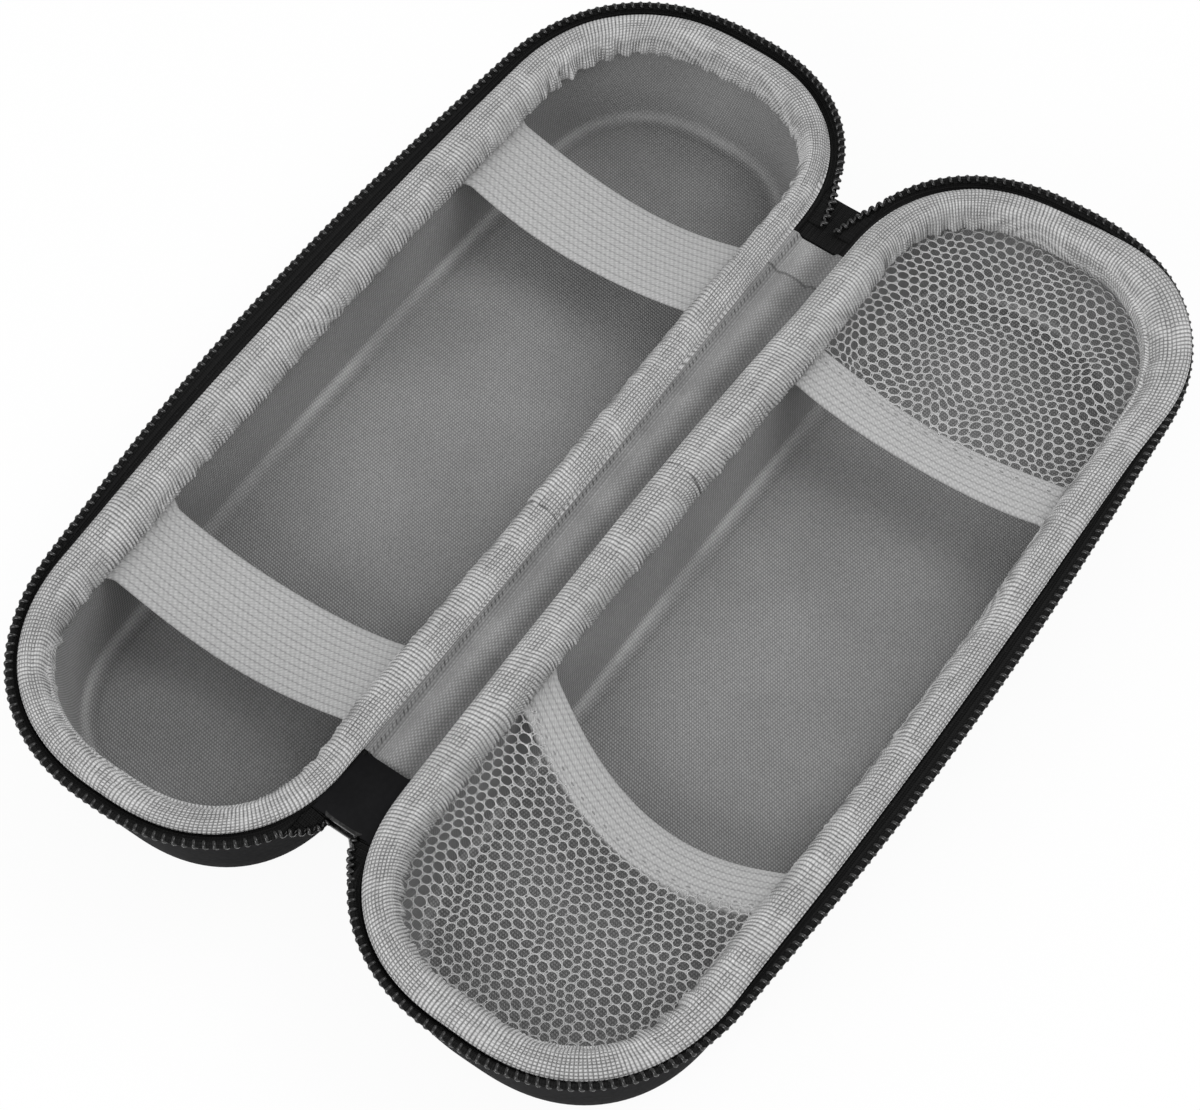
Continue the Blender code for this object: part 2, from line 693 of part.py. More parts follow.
def cut_back(outline, border):
    """Cut a convex outline back to the inside of a convex border that runs anticlockwise."""
    kept = outline
    for start, end in zip(border, border[1:] + border[:1]):
        way = (end - start).normalized()
        inside = [way.cross(point - start) for point in kept]
        cut = []
        for i, point in enumerate(kept):
            before = i - 1
            if inside[before] * inside[i] < 0:
                share = inside[before] / (inside[before] - inside[i])
                cut.append(kept[before].lerp(point, share))
            if inside[i] >= 0:
                cut.append(point)
        kept = cut
    return kept


def area(outline):
    """Give the area of a closed outline."""
    return abs(sum(outline[i - 1].cross(point) for i, point in enumerate(outline))) / 2


def rim_border(inset):
    """Give the lid's rim outline moved in by an inset, as vectors in XY."""
    return [Vector(point) + way * inset for point, way in zip(RIM, RIM_IN)]


def net_loop(trim_edge, end_sign):
    """Give the outline of a pocket net: its trim's edge, then the rim round the end of the lid."""
    middle = HINGE_SIDE_X + END_WIDTH / 2
    kept = []
    for point in rim_border(lip_inset() + NET_THICKNESS * WALL_SLOPE):
        limit = trim_edge[-1] if point.x > middle else trim_edge[0]
        if end_sign * (point.y - limit.y) > NET_MARGIN:
            kept.append(point)
    gaps = [(kept[i] - kept[i - 1]).length for i in range(len(kept))]
    first = gaps.index(max(gaps))
    around = kept[first:] + kept[:first]
    if (around[-1] - trim_edge[0]).length > (around[0] - trim_edge[0]).length:
        around.reverse()
    return trim_edge + around


def net_holes(edge_at, start_x, end_x, end_sign):
    """Give the holes of a pocket net, in rows that follow its trim and are cut off by the rim."""
    border = rim_border(lip_inset() + NET_THICKNESS * WALL_SLOPE + NET_MARGIN)
    row_step = NET_PITCH * math.sqrt(0.75)
    first_row = NET_MARGIN + (NET_PITCH - NET_STRAND) / math.sqrt(3)
    rows = int(HALF_LENGTH / row_step)
    columns = int((end_x - start_x) / NET_PITCH) + 1
    middle = (start_x + end_x) / 2
    whole = area([Vector(point) for point in hexagon(0, 0)])
    holes = []
    for row in range(rows):
        for column in range(-columns // 2, columns // 2 + 1):
            centre_x = middle + (column + 0.5 * (row % 2)) * NET_PITCH
            corners = hexagon(centre_x, first_row + row * row_step)
            sheared = [Vector((x, edge_at(x) + end_sign * away)) for x, away in corners]
            hole = cut_back(sheared, border)
            if len(hole) > 2 and area(hole) > NET_LEAST_HOLE_SHARE * whole:
                holes.append(hole)
    return holes


def make_net(name, line, end_sign, sag, finish, home):
    """Make a pocket net: a thin sheet of hexagonal holes that hangs from the rim to its trim."""
    start_x, end_x = line(0.0)[0], line(1.0)[0]

    def across(x):
        return min(max((x - start_x) / (end_x - start_x), 0.0), 1.0)

    def edge_at(x):
        return line(across(x))[1] + end_sign * (TRIM_WIDTH / 2 + SEAT_GAP)

    places = [line(step / BAND_STEPS)[0] for step in range(BAND_STEPS + 1)]
    loop = net_loop([Vector((x, edge_at(x))) for x in places], end_sign)
    mesh = flat_mesh([loop, *net_holes(edge_at, start_x, end_x, end_sign)], NET_THICKNESS)
    far_y = end_sign * (HALF_LENGTH - lip_inset())
    for vertex in mesh.vertices:
        x, y, z = vertex.co
        share = across(x)
        along = min(max((y - edge_at(x)) / (far_y - edge_at(x)), 0.0), 1.0)
        fall = sag * 4 * share * (1 - share) * (1 - along) ** NET_FALL_POWER
        vertex.co = (x, y, SHELL_DEPTH + BAND_TOP - NET_THICKNESS / 2 + z - fall)
    return place(name, mesh, finish, home)


def clear_scene():
    """Remove what the scene holds."""
    for thing in list(bpy.data.objects):
        bpy.data.objects.remove(thing)


def make_shell(prefix, side, finishes, home):
    """Make one moulded shell with its binding, tape and coil row."""
    foam_depth = SKIN_THICKNESS + SEAT_GAP
    lining_depth = foam_depth + FOAM_THICKNESS + SEAT_GAP
    first_tooth = int(side > 0)
    return [
        moulded_layer(prefix + "_outer_skin", side, 0.0, SKIN_THICKNESS, finishes["skin"], home),
        moulded_layer(prefix + "_foam_shell", side, foam_depth, FOAM_THICKNESS, finishes["foam"], home),
        moulded_layer(prefix + "_lining", side, lining_depth, LINING_THICKNESS, finishes["lining"], home),
        make_binding(prefix + "_binding", side, finishes["binding"], home),
        make_tape(prefix + "_zipper_tape", side, finishes["tape"], home),
        make_coil(prefix + "_zipper_coil", side, row_path(), finishes["coil"], home, first_tooth),
    ]


def make_hinge(finishes, home):
    """Make the fabric hinge with the closed-up ends of the zip rows."""
    inner_top = -INNER_WEB_DROP
    outer_top = inner_top - INNER_WEB_THICKNESS - SEAT_GAP
    tape_start = INNER_WEB_HALF + SEAT_GAP
    webs = [
        ("hinge_inner_web", -INNER_WEB_HALF, INNER_WEB_HALF, inner_top, INNER_WEB_THICKNESS, "web"),
        ("hinge_outer_web", -OUTER_WEB_NEAR, OUTER_WEB_FAR, outer_top, OUTER_WEB_THICKNESS, "skin"),
        ("far_tape_end", tape_start, OUTER_WEB_FAR, inner_top, INNER_WEB_THICKNESS, "tape"),
    ]
    pieces = [make_web(*sizes, finishes[finish], home) for *sizes, finish in webs]
    pieces.append(make_patch("near_end_patch", tape_start, finishes["skin"], home))
    row = row_path()
    far_places = [
        (FAR_TAIL_LOW_X, OUTER_WEB_FAR - FAR_TAIL_LOW_LEAD, FAR_TAIL_RISE),
        (TAIL_JOIN_X, FAR_TAIL_JOIN, FAR_TAIL_RISE),
    ]
    far_path = tail_path(row[0], far_places)
    near_places = [
        (NEAR_TAIL_MOUTH_X + NEAR_TAIL_SPREAD, SLIDER_MOUTH_Y - SLIDER_RUN - COIL_END_GAP, -NEAR_TAIL_DROP),
        (NEAR_TAIL_MOUTH_X, SLIDER_MOUTH_Y - SEAT_GAP, -NEAR_TAIL_DROP),
        (TAIL_JOIN_X, -NEAR_TAIL_SPLIT, -NEAR_TAIL_DROP),
        (TAIL_JOIN_X, -NEAR_TAIL_JOIN, -NEAR_TAIL_DROP),
    ]
    near_path = tail_path(row[-1], near_places)
    for prefix, side in (("base", -1), ("lid", 1)):
        for end, path in (("far", far_path), ("near", near_path)):
            name = f"{prefix}_coil_{end}_end"
            pieces.append(make_coil(name, side, path, finishes["coil"], home, int(side > 0)))
    return pieces


def make_straps(finishes, home):
    """Make the two elastic straps across the base."""
    straps = []
    near_y = NEAR_STRAP_SETBACK - HALF_LENGTH
    far_y = HALF_LENGTH - FAR_STRAP_SETBACK
    for name, y in (("near_strap", near_y), ("far_strap", far_y)):
        line = band_line(y, y, STRAP_SAG, 0.0, STRAP_THICKNESS, STRAP_WIDTH / 2)
        straps.append(make_band(name, -1, line, STRAP_WIDTH, STRAP_THICKNESS, finishes["elastic"], home))
    return straps


def make_pockets(finishes, home):
    """Make the two net pockets of the lid with their elastic trims."""
    half = TRIM_WIDTH / 2
    far_y = HALF_LENGTH - FAR_TRIM_SETBACK
    near_y = NEAR_TRIM_SETBACK - HALF_LENGTH
    far = band_line(far_y, far_y, FAR_TRIM_SAG, 0.0, TRIM_THICKNESS, half)
    near_sags = (NEAR_TRIM_SAG, NEAR_TRIM_BOW)
    near = band_line(near_y + NEAR_TRIM_SLANT, near_y, *near_sags, TRIM_THICKNESS, half)
    return [
        make_band("far_pocket_trim", 1, far, TRIM_WIDTH, TRIM_THICKNESS, finishes["elastic"], home),
        make_band("near_pocket_trim", 1, near, TRIM_WIDTH, TRIM_THICKNESS, finishes["elastic"], home),
        make_net("far_pocket_net", far, 1, FAR_TRIM_SAG, finishes["net"], home),
        make_net("near_pocket_net", near, -1, NEAR_TRIM_SAG, finishes["net"], home),
    ]


def main():
    """Model the case, open on the table."""
    clear_scene()
    home = fresh_collection("toothbrush_travel_case")
    cutters = fresh_collection("cutters")
    finishes = {
        "skin": material("black_leatherette", (0.012, 0.012, 0.013), 0.45),
        "foam": material("dark_foam", (0.03, 0.03, 0.03), 0.9),
        "lining": material("grey_lining", (0.19, 0.19, 0.19), 0.9),
        "binding": material("pale_grey_binding", (0.40, 0.40, 0.40), 0.85),
        "tape": material("black_tape", (0.01, 0.01, 0.01), 0.85),
        "coil": material("black_coil", (0.012, 0.012, 0.012), 0.3),
        "web": material("grey_web", (0.34, 0.34, 0.34), 0.85),
        "elastic": material("grey_elastic", (0.37, 0.37, 0.37), 0.85),
        "net": material("grey_net", (0.42, 0.42, 0.42), 0.8),
        "metal": material("black_metal", (0.03, 0.03, 0.03), 0.3, 1.0),
    }
    make_shell("base", -1, finishes, home)
    make_straps(finishes, home)
    lid = make_shell("lid", 1, finishes, home) + make_pockets(finishes, home)
    hinge = make_hinge(finishes, home)
    slider = make_slider(finishes["metal"], home, cutters)
    pull = make_pull(finishes["metal"], home)

    crown_y = SLIDER_MOUTH_Y + SLIDER_LENGTH / 2
    row, _, _, pull_axis = slider_levels()
    spine_axis = axis_empty("spine_fold_axis", -FOLD_SPACING / 2, 0, SHELL_DEPTH, None, home)
    lid_axis = axis_empty("lid_fold_axis", FOLD_SPACING / 2, 0, SHELL_DEPTH, spine_axis, home)
    run_axis = axis_empty("slider_run_axis", 0, crown_y, row, spine_axis, home)
    swing_axis = axis_empty("pull_swing_axis", 0, crown_y, pull_axis, run_axis, home)
    hang(hinge, spine_axis)
    hang(lid, lid_axis)
    hang([slider], run_axis)
    hang([pull], swing_axis)
    hang(list(cutters.objects), run_axis)


main()
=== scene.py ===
"""The looks of a long zip case for a toothbrush, lying open.

Laid out as an add-on: sizes and colours are properties, each group of pieces has
an operator, and a panel in the sidebar of the 3D view lists them. Every length is
in metres, in the frame of the packed solids: X from the hinge to the lid, Y along
the case away from the slider, Z up from the table.
"""

import json
import math
from functools import cache

import bmesh
import bpy
import numpy as np
from mathutils import Matrix, Vector


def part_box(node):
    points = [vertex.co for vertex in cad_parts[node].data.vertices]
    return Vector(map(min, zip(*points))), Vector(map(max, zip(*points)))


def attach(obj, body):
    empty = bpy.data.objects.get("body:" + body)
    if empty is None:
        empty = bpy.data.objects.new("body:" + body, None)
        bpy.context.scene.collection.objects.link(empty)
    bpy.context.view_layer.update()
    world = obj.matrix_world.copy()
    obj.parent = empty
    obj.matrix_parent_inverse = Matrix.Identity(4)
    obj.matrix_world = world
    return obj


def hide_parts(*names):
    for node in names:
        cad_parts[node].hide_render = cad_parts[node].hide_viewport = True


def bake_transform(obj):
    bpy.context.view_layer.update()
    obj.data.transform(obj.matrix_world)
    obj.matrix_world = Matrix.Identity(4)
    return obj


bl_info = {
    "name": "Toothbrush travel case",
    "version": (1, 0, 0),
    "blender": (4, 5, 0),
    "location": "View3D > Sidebar > Travel case",
    "description": "Builds the fabric, zip and straps of an open travel case",
    "category": "Object",
}

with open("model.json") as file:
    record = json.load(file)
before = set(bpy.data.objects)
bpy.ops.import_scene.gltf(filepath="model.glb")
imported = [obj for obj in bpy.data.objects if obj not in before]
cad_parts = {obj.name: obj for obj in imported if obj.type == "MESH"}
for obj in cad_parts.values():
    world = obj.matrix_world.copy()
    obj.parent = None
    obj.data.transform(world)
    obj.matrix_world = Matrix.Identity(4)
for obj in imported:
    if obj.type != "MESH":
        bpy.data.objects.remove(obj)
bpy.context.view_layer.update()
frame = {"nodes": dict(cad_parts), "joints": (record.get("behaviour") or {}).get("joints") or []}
MM = 0.001
LID_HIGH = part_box("lid_binding")[1]
TOP_GAP = 1.0 * MM  # from the top of the linings up to the rim plane
RIM_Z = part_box("base_lining")[1].z + TOP_GAP
AXIS_X = abs(frame["joints"][0]["pos_m"][0])


# Properties


def length(name, text, default):
    """Describe a length that a user may change."""
    return bpy.props.FloatProperty(
        name=name, description=text, default=default, unit="LENGTH", precision=5
    )


def direction(name, text, degrees):
    """Describe an angle that a user may change, given in degrees."""
    return bpy.props.FloatProperty(
        name=name, description=text, default=math.radians(degrees), subtype="ANGLE"
    )


def share(name, text, default):
    """Describe a plain ratio that a user may change."""
    return bpy.props.FloatProperty(name=name, description=text, default=default)


def colour(name, text, default):
    """Describe a linear colour that a user may change."""
    return bpy.props.FloatVectorProperty(
        name=name, description=text, default=default, subtype="COLOR", size=3, min=0, max=1
    )


class CaseShape(bpy.types.PropertyGroup):
    """The rim that both shells share, and the walls below it."""

    half_length: length("Half length", "From the middle to the end of the rim", LID_HIGH.y)
    hinge_x: length("Hinge side", "From the middle line to the rim's hinge side", 6.3 * MM)
    end_width: length("End width", "Width of the rim at its ends", 72.5 * MM)
    outer_corner: length("Outer corner", "Size of the corners away from the hinge", 35.93 * MM)
    hinge_corner: length("Hinge corner", "Size of the corners beside the hinge", 33.17 * MM)
    corner_power: share("Corner power", "2 makes round corners, more makes squarer ones", 2.29)
    outer_bow: length("Outer bow", "How far the outer side bows out", 3.6 * MM)
    hinge_bow: length("Hinge bow", "How far the hinge side bows out", 1.8 * MM)
    depth: length("Depth", "From the rim plane down to the back", RIM_Z)
    lean: length("Lean", "How far the wall runs in over its depth", 5.05 * MM)
    shift: length("Shift", "How far the floor lies off the middle of the rim", 0.75 * MM)
    fillet: length("Fillet", "Radius between wall and floor, outside", 7.5 * MM)
    skin: length("Skin", "Thickness of the leatherette", 0.9 * MM)
    foam: length("Foam", "Thickness of the moulded foam", 3.0 * MM)
    lining: length("Lining", "Thickness of the lining", 0.6 * MM)
    gap: length("Gap", "Clearance between layers", 0.3 * MM)


class CaseCloth(bpy.types.PropertyGroup):
    """The binding, the elastic bands, the nets and the hinge cloth."""

    binding_width: length("Binding width", "Usual width of the rolled binding", 8.6 * MM)
    binding_rise: length("Binding rise", "Height of the roll over the rim", 2.4 * MM)
    binding_drop: length("Binding drop", "How far the roll reaches down inside", 4.0 * MM)
    rib: length("Binding rib", "Spacing of the ribs across the binding", 0.9 * MM)
    strap_width: length("Strap width", "Width of the elastic straps", 20.5 * MM)
    trim_width: length("Trim width", "Width of the pocket trims", 10.6 * MM)
    net_pitch: length("Net pitch", "Spacing of the holes in the nets", 2.42 * MM)
    net_thickness: length("Net thickness", "Thickness of the net's strands", 0.3 * MM)


class CaseZip(bpy.types.PropertyGroup):
    """The zip's coil, tape and stitches."""

    pitch: length("Tooth pitch", "From one tooth of the coil to the next", 1.95 * MM)
    width: length("Coil width", "Width of the coil", 1.95 * MM)
    height: length("Coil height", "Height of the coil", 1.6 * MM)
    wire: length("Coil wire", "Thickness of the nylon wire", 0.85 * MM)
    tape: length("Tape", "Thickness of the tape", 0.5 * MM)


class CaseColours(bpy.types.PropertyGroup):
    """The colours of the case, linear."""

    leatherette: colour("Leatherette", "Outside of the shells", (0.008, 0.008, 0.0085))
    foam: colour("Foam", "Moulded foam of the walls", (0.03, 0.03, 0.03))
    lining: colour("Lining", "Knit lining", (0.25, 0.25, 0.25))
    binding: colour("Binding", "Rolled binding", (0.5, 0.5, 0.5))
    elastic: colour("Elastic", "Straps and trims", (0.44, 0.44, 0.44))
    thread: colour("Thread", "Stitches of the pocket trims", (0.24, 0.24, 0.24))
    net: colour("Net", "Pocket nets", (0.52, 0.52, 0.52))
    web: colour("Web", "Cloth of the hinge", (0.26, 0.26, 0.26))
    tape: colour("Tape", "Zip tape", (0.006, 0.006, 0.006))
    coil: colour("Coil", "Nylon coil", (0.007, 0.007, 0.007))
    metal: colour("Metal", "Slider and pull", (0.03, 0.03, 0.03))


class CaseStage(bpy.types.PropertyGroup):
    """The camera, the floor and the lamps."""

    yaw: direction("Yaw", "Camera's turn round the case", 33.936)
    height: direction("Height", "Camera's height angle", 58.817)
    roll: direction("Roll", "Camera's roll", 1.152)
    distance: length("Distance", "From the camera to the middle of the rims", 0.6163)
    lens: share("Lens", "Focal length in millimetres on a 36 mm sensor", 91.46)
    key: share("Key lamp", "Power of the main lamp in watts", 6.4)
    world: share("World", "Strength of the even white light", 0.67)


GROUPS = {
    "case_shape": CaseShape,
    "case_cloth": CaseCloth,
    "case_zip": CaseZip,
    "case_colours": CaseColours,
    "case_stage": CaseStage,
}


# The rim and the lines that follow it


CORNER_STEPS = 120  # points that draw one corner of the rim
FINE_STEPS = 6000  # points round the rim, which are then thinned to the count asked for


def rim_middle():
    """The X of the line down the middle of the lid's rim."""
    s = bpy.context.scene.case_shape
    return s.hinge_x + s.end_width / 2


def rim_line(count, start_y=0.0):
    """Even points round the lid's rim and their inward ways, from a place on its hinge side."""
    s = bpy.context.scene.case_shape
    turn = np.linspace(0, math.pi / 2, CORNER_STEPS)
    in_side = 1 - np.cos(turn) ** (2 / s.corner_power)
    in_end = 1 - np.sin(turn) ** (2 / s.corner_power)
    in_end[-1] = 0.0
    outer_x = s.hinge_x + s.end_width - in_side * s.outer_corner
    outer = np.stack([outer_x, s.half_length - in_end * s.outer_corner], 1)
    hinge_x = s.hinge_x + in_side * s.hinge_corner
    hinge = np.stack([hinge_x, s.half_length - in_end * s.hinge_corner], 1)
    far = np.concatenate([outer, hinge[::-1]])
    points = even_line(np.concatenate([far, (far * (1, -1))[::-1]]), FINE_STEPS)
    middle = rim_middle()
    bow = np.where(points[:, 0] > middle, s.outer_bow, s.hinge_bow)
    bow = bow * (points[:, 0] - middle) / (s.end_width / 2)
    points[:, 0] += bow * (1 - (points[:, 1] / s.half_length) ** 2)
    on_hinge = np.where(points[:, 0] < middle, abs(points[:, 1] - start_y), 1.0)
    points = even_line(np.roll(points, -int(on_hinge.argmin()), axis=0), count)
    return points, aside(points)


def rim_x_at(y, outer_side=False):
    """The rim's X at a Y or at many, on its hinge side or its outer side."""
    points, _ = rim_line(2400)
    half = points[(points[:, 0] - rim_middle()) * (1 if outer_side else -1) > 0]
    half = half[np.argsort(half[:, 1])]
    return np.interp(y, half[:, 1], half[:, 0])


def aside(points):
    """The unit way to the left at each point of a closed flat line."""
    ahead = np.roll(points, -1, axis=0) - np.roll(points, 1, axis=0)
    ahead /= np.linalg.norm(ahead, axis=1, keepdims=True)
    return np.stack([-ahead[:, 1], ahead[:, 0]], 1)


def even_line(points, count):
    """Points at even steps round a closed line."""
    closed = np.concatenate([points, points[:1]])
    walked = walk(closed)
    at = np.arange(count) * walked[-1] / count
    return np.stack([np.interp(at, walked, closed[:, i]) for i in range(closed.shape[1])], 1)


def walk(points):
    """The distance walked to each point of a line."""
    return np.concatenate([[0], np.cumsum(np.linalg.norm(np.diff(points, axis=0), axis=1))])


def walk_round(points):
    """The distance walked to each point of a closed line, and back to the first."""
    return walk(np.concatenate([points, points[:1]]))


def softened(values, window):
    """Values along a closed line, each a mean over a window round it."""
    count = len(values)
    return np.convolve(np.tile(values, 3), window / window.sum(), "same")[count : 2 * count]


def smooth_step(values, low, high):
    """0 below low, 1 above high, and a soft rise between them."""
    t = np.clip((values - low) / (high - low), 0, 1)
    return t * t * (3 - 2 * t)


def around_rim(points, table):
    """Values for the rim's points from a table of even places in millimetres, softened between them.

    The places start in the middle of the hinge side and run on by the near end.
    """
    on_hinge = np.where(points[:, 0] < rim_middle(), abs(points[:, 1]), 1.0)
    share_round = (np.arange(len(points)) - int(on_hinge.argmin())) % len(points) / len(points)
    values = np.interp(share_round, np.linspace(0, 1, len(table) + 1), [*table, table[0]]) * MM
    return softened(values, np.hanning(int(len(points) / len(table)) + 3))


def waves(at, whole, shortest, longest, seed, count=9):
    """A seeded ripple along a closed line of a whole length, about -1 to 1."""
    draw = np.random.default_rng(seed)
    turns = np.round(whole / draw.uniform(shortest, longest, count))
    lag = draw.uniform(0, 2 * math.pi, count)
    total = sum(np.sin(2 * math.pi * t * at / whole + g) for t, g in zip(turns, lag))
    return total / math.sqrt(count / 2) / 1.6


def smooth_bend(a, b, c, d, steps):
    """Points on a smooth curve from b up to c, with a before them and d after them."""
    t = np.linspace(0, 1, steps, endpoint=False)[:, None]
    square, cube = 2 * a - 5 * b + 4 * c - d, 3 * b - a - 3 * c + d
    return 0.5 * (2 * b + (c - a) * t + square * t**2 + cube * t**3)


def rounded(points, count):
    """A smooth closed curve through points of a section, at even steps."""
    neighbours = [np.roll(np.array(points, float), shift, axis=0) for shift in (1, 0, -1, -2)]
    return even_line(np.concatenate([smooth_bend(*four, 12) for four in zip(*neighbours)]), count)


# Meshes and pieces


def lofted(name, rings, cloth, through=True, capped=False):
    """A mesh through rings of points, with a map in metres; through joins the last ring to the first."""
    rows, columns = rings.shape[:2]
    i = np.arange(rows if through else rows - 1)
    i, j = (k.ravel() for k in np.meshgrid(i, np.arange(columns), indexing="ij"))
    corners = [(i, j), (i + 1, j), (i + 1, j + 1), (i, j + 1)]
    faces = np.stack([(a % rows) * columns + b % columns for a, b in corners], 1).tolist()
    flat = [np.stack([cloth[a, b] for a, b in corners], 1).reshape(-1, 2)]
    if capped:
        last = (rows - 1) * columns
        faces += [list(range(columns)), [last + k for k in range(columns)][::-1]]
        flat += [cloth[0, :columns], cloth[rows - 1, :columns][::-1]]
    mesh = bpy.data.meshes.new(name)
    mesh.from_pydata(rings.reshape(-1, 3).tolist(), [], faces)
    mesh.uv_layers.new(name="cloth").data.foreach_set("uv", np.concatenate(flat).ravel())
    return outward(mesh)


def outward(mesh, crease=40):
    """Turn a closed mesh's faces outward, and shade it smooth up to a crease angle."""
    mesh.validate()
    mesh.update()
    mesh.calc_loop_triangles()
    points = np.array([v.co for v in mesh.vertices])
    corners = np.array([t.vertices for t in mesh.loop_triangles])
    a, b, c = (points[corners[:, k]] for k in range(3))
    if (a * np.cross(b, c)).sum() < 0:
        mesh.flip_normals()
    mesh.shade_smooth()
    mesh.set_sharp_from_angle(angle=math.radians(crease))
    return mesh


def line_mesh(name, points):
    """A mesh of edges along a line."""
    mesh = bpy.data.meshes.new(name)
    mesh.from_pydata([tuple(p) for p in points], [(i, i + 1) for i in range(len(points) - 1)], [])
    return mesh


def piece(name, mesh, maker, body, replaced=()):
    """Put a mesh in the scene with its finish, on a body or, when given two, left unparented where it stands,
    in place of solids.
    """
    thing = bpy.data.objects.new(name, mesh)
    bpy.context.scene.collection.objects.link(thing)
    mesh.materials.clear()
    mesh.materials.append(once(maker))
    if isinstance(body, str):
        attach(thing, body)
    else:
        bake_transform(thing)
    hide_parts(*replaced)
    once(maker)["slot"]
    return thing


SIDES = {"base": -1, "lid": 1}
FOLD_REACH = 1.6 * MM  # how far hinge cloth goes on turning to each side of a fold line


def fold_beside(body):
    """The stretch over which hinge cloth turns between a shell and the spine."""
    fold_x = SIDES[body] * AXIS_X
    stretch = ((fold_x - FOLD_REACH, 0, RIM_Z), (fold_x + FOLD_REACH, 0, RIM_Z))
    return (*(("base", "spine") if body == "base" else ("spine", "lid")), *stretch)


# The walls


def along_rim(points, ways, side, inset, height, drift=0.0):
    """Points beside the rim: inset inwards and height over the rim plane, drifting towards the middle."""
    inset, height = np.broadcast_to(inset, len(points)), np.broadcast_to(height, len(points))
    return np.stack(
        [
            side * (points[:, 0] + ways[:, 0] * inset + drift),
            points[:, 1] + ways[:, 1] * inset,
            RIM_Z + height,
        ],
        1,
    )


def wall_inset(deep, height):
    """How far inside the rim a surface lies, deep in the wall, at a height over the rim plane."""
    s = bpy.context.scene.case_shape
    slope = s.lean / s.depth
    return -height * slope + deep * math.sqrt(1 + slope**2)


def climbs(section):
    """How far up the wall, along it, each place of a section lies from the floor."""
    walked = walk(np.array(section))
    return walked[-1] - walked


BEAD_PLACE, BEAD_SPREAD = 0.55, 0.25  # the bead of the fillet, in shares of the way from wall to floor
WALL_STEPS, FILLET_STEPS = 8, 9


def wall_section(deep, bead=0.0):
    """Inset and height from the rim down the wall and round the fillet to the floor, deep in the wall.

    A bead swells the fillet inwards, where the lining bridges the corner.
    """
    s = bpy.context.scene.case_shape
    angle = math.atan(s.lean / s.depth)
    fillet, floor = s.fillet - deep, -s.depth + deep
    start = floor + fillet * (1 - math.sin(angle))
    centre = wall_inset(deep, start) + fillet * math.cos(angle)
    section = [(wall_inset(deep, h), h) for h in np.linspace(-TOP_GAP, start, WALL_STEPS)[:-1]]
    for part in np.linspace(0, 1, FILLET_STEPS):
        turn = angle + (math.pi / 2 - angle) * part
        radius = fillet - bead * math.exp(-(((part - BEAD_PLACE) / BEAD_SPREAD) ** 2))
        section.append((centre - radius * math.cos(turn), floor + fillet - radius * math.sin(turn)))
    return section


SHELL_STEPS = 300  # points round a shell
FLOOR_LINE = 75 * MM  # half the length of the line that a floor's rings close in on
FLOOR_PULLS = (0.93, 0.6, 0.3, 0.1, 0.04)  # how far each ring of a floor is drawn in to that line
PALE_BAND_AT, PALE_BAND_OVER = 1.5 * MM, 0.95 * MM  # up the wall from the floor, the pale band where the knit is stretched and a highlight is painted
PAINTED_SHADE_DIP = -0.3  # painted shade of the knit just inside the fillet, where it lies loose


def shell_layer(name, side, shallow, deep, bead=0.0):
    """A moulded layer of a shell, closed: its outside is shallow in the wall, and its inside deep."""
    s = bpy.context.scene.case_shape
    points, ways = rim_line(SHELL_STEPS)
    outside, inside = wall_section(shallow), wall_section(deep, bead)
    # Each ring: inset and height, how far it is drawn in over the floor, and how far up the cloth it lies.
    rows = [(*outside[-1], pull, 0.0) for pull in FLOOR_PULLS]
    rows += [(*spot, 0.0, climb) for spot, climb in zip(outside, climbs(outside))][::-1]
    rows += [(*spot, 0.0, climb) for spot, climb in zip(inside, climbs(inside))]
    rows += [(*inside[-1], pull, 0.0) for pull in FLOOR_PULLS[::-1]]
    floor_plan = along_rim(points, ways, side, inside[-1][0], 0.0, s.shift)[:, :2]
    rings, maps = [], []
    for inset, height, pull, climb in rows:
        made = along_rim(points, ways, side, inset, height, -height / s.depth * s.shift)
        spine = made.copy()
        spine[:, 0] = side * (rim_middle() + s.shift)
        spine[:, 1] = np.clip(made[:, 1], -FLOOR_LINE, FLOOR_LINE)
        made += (spine - made) * pull
        rings.append(made)
        maps.append(made[:, :2] if pull else floor_plan - ways * (side, 1) * climb)
    cloth = np.array(maps)
    cloth = np.concatenate([cloth, cloth[:, :1]], 1)
    mesh = lofted(name, np.array(rings), cloth, through=False, capped=True)
    # The knit is paler round the fillet, partly where it is stretched and partly as a painted highlight, and
    # painted shade darkens it just inside.
    tight = [
        0.0 if pull else math.exp(-(((climb - PALE_BAND_AT) / PALE_BAND_OVER) ** 2))
        for *_, pull, climb in rows
    ]
    tight[-len(FLOOR_PULLS)] = PAINTED_SHADE_DIP
    values = np.repeat(tight, len(points))
    mesh.attributes.new("stretch", "FLOAT", "POINT").data.foreach_set("value", values)
    return mesh


# Finishes


class Nodes:
    """A node tree in the making, with short calls that add and join nodes."""

    def __init__(self, tree):
        self.tree = tree

    def add(self, kind, inputs=(), **settings):
        """Add a node, set it up, and set or join its inputs by name or number."""
        node = self.tree.nodes.new(kind)
        for key, value in settings.items():
            setattr(node, key, value)
        for key, value in dict(inputs).items():
            if isinstance(value, bpy.types.NodeSocket):
                self.tree.links.new(value, node.inputs[key])
            else:
                node.inputs[key].default_value = value
        return node

    def math(self, operation, *values):
        """The result of a Math node."""
        return self.add("ShaderNodeMath", dict(enumerate(values)), operation=operation).outputs[0]

    def times(self, a, b):
        """The product of two values."""
        return self.math("MULTIPLY", a, b)

    def plus(self, a, b):
        """The sum of two values."""
        return self.math("ADD", a, b)

    def minus(self, a, b):
        """The first value less the second."""
        return self.math("SUBTRACT", a, b)


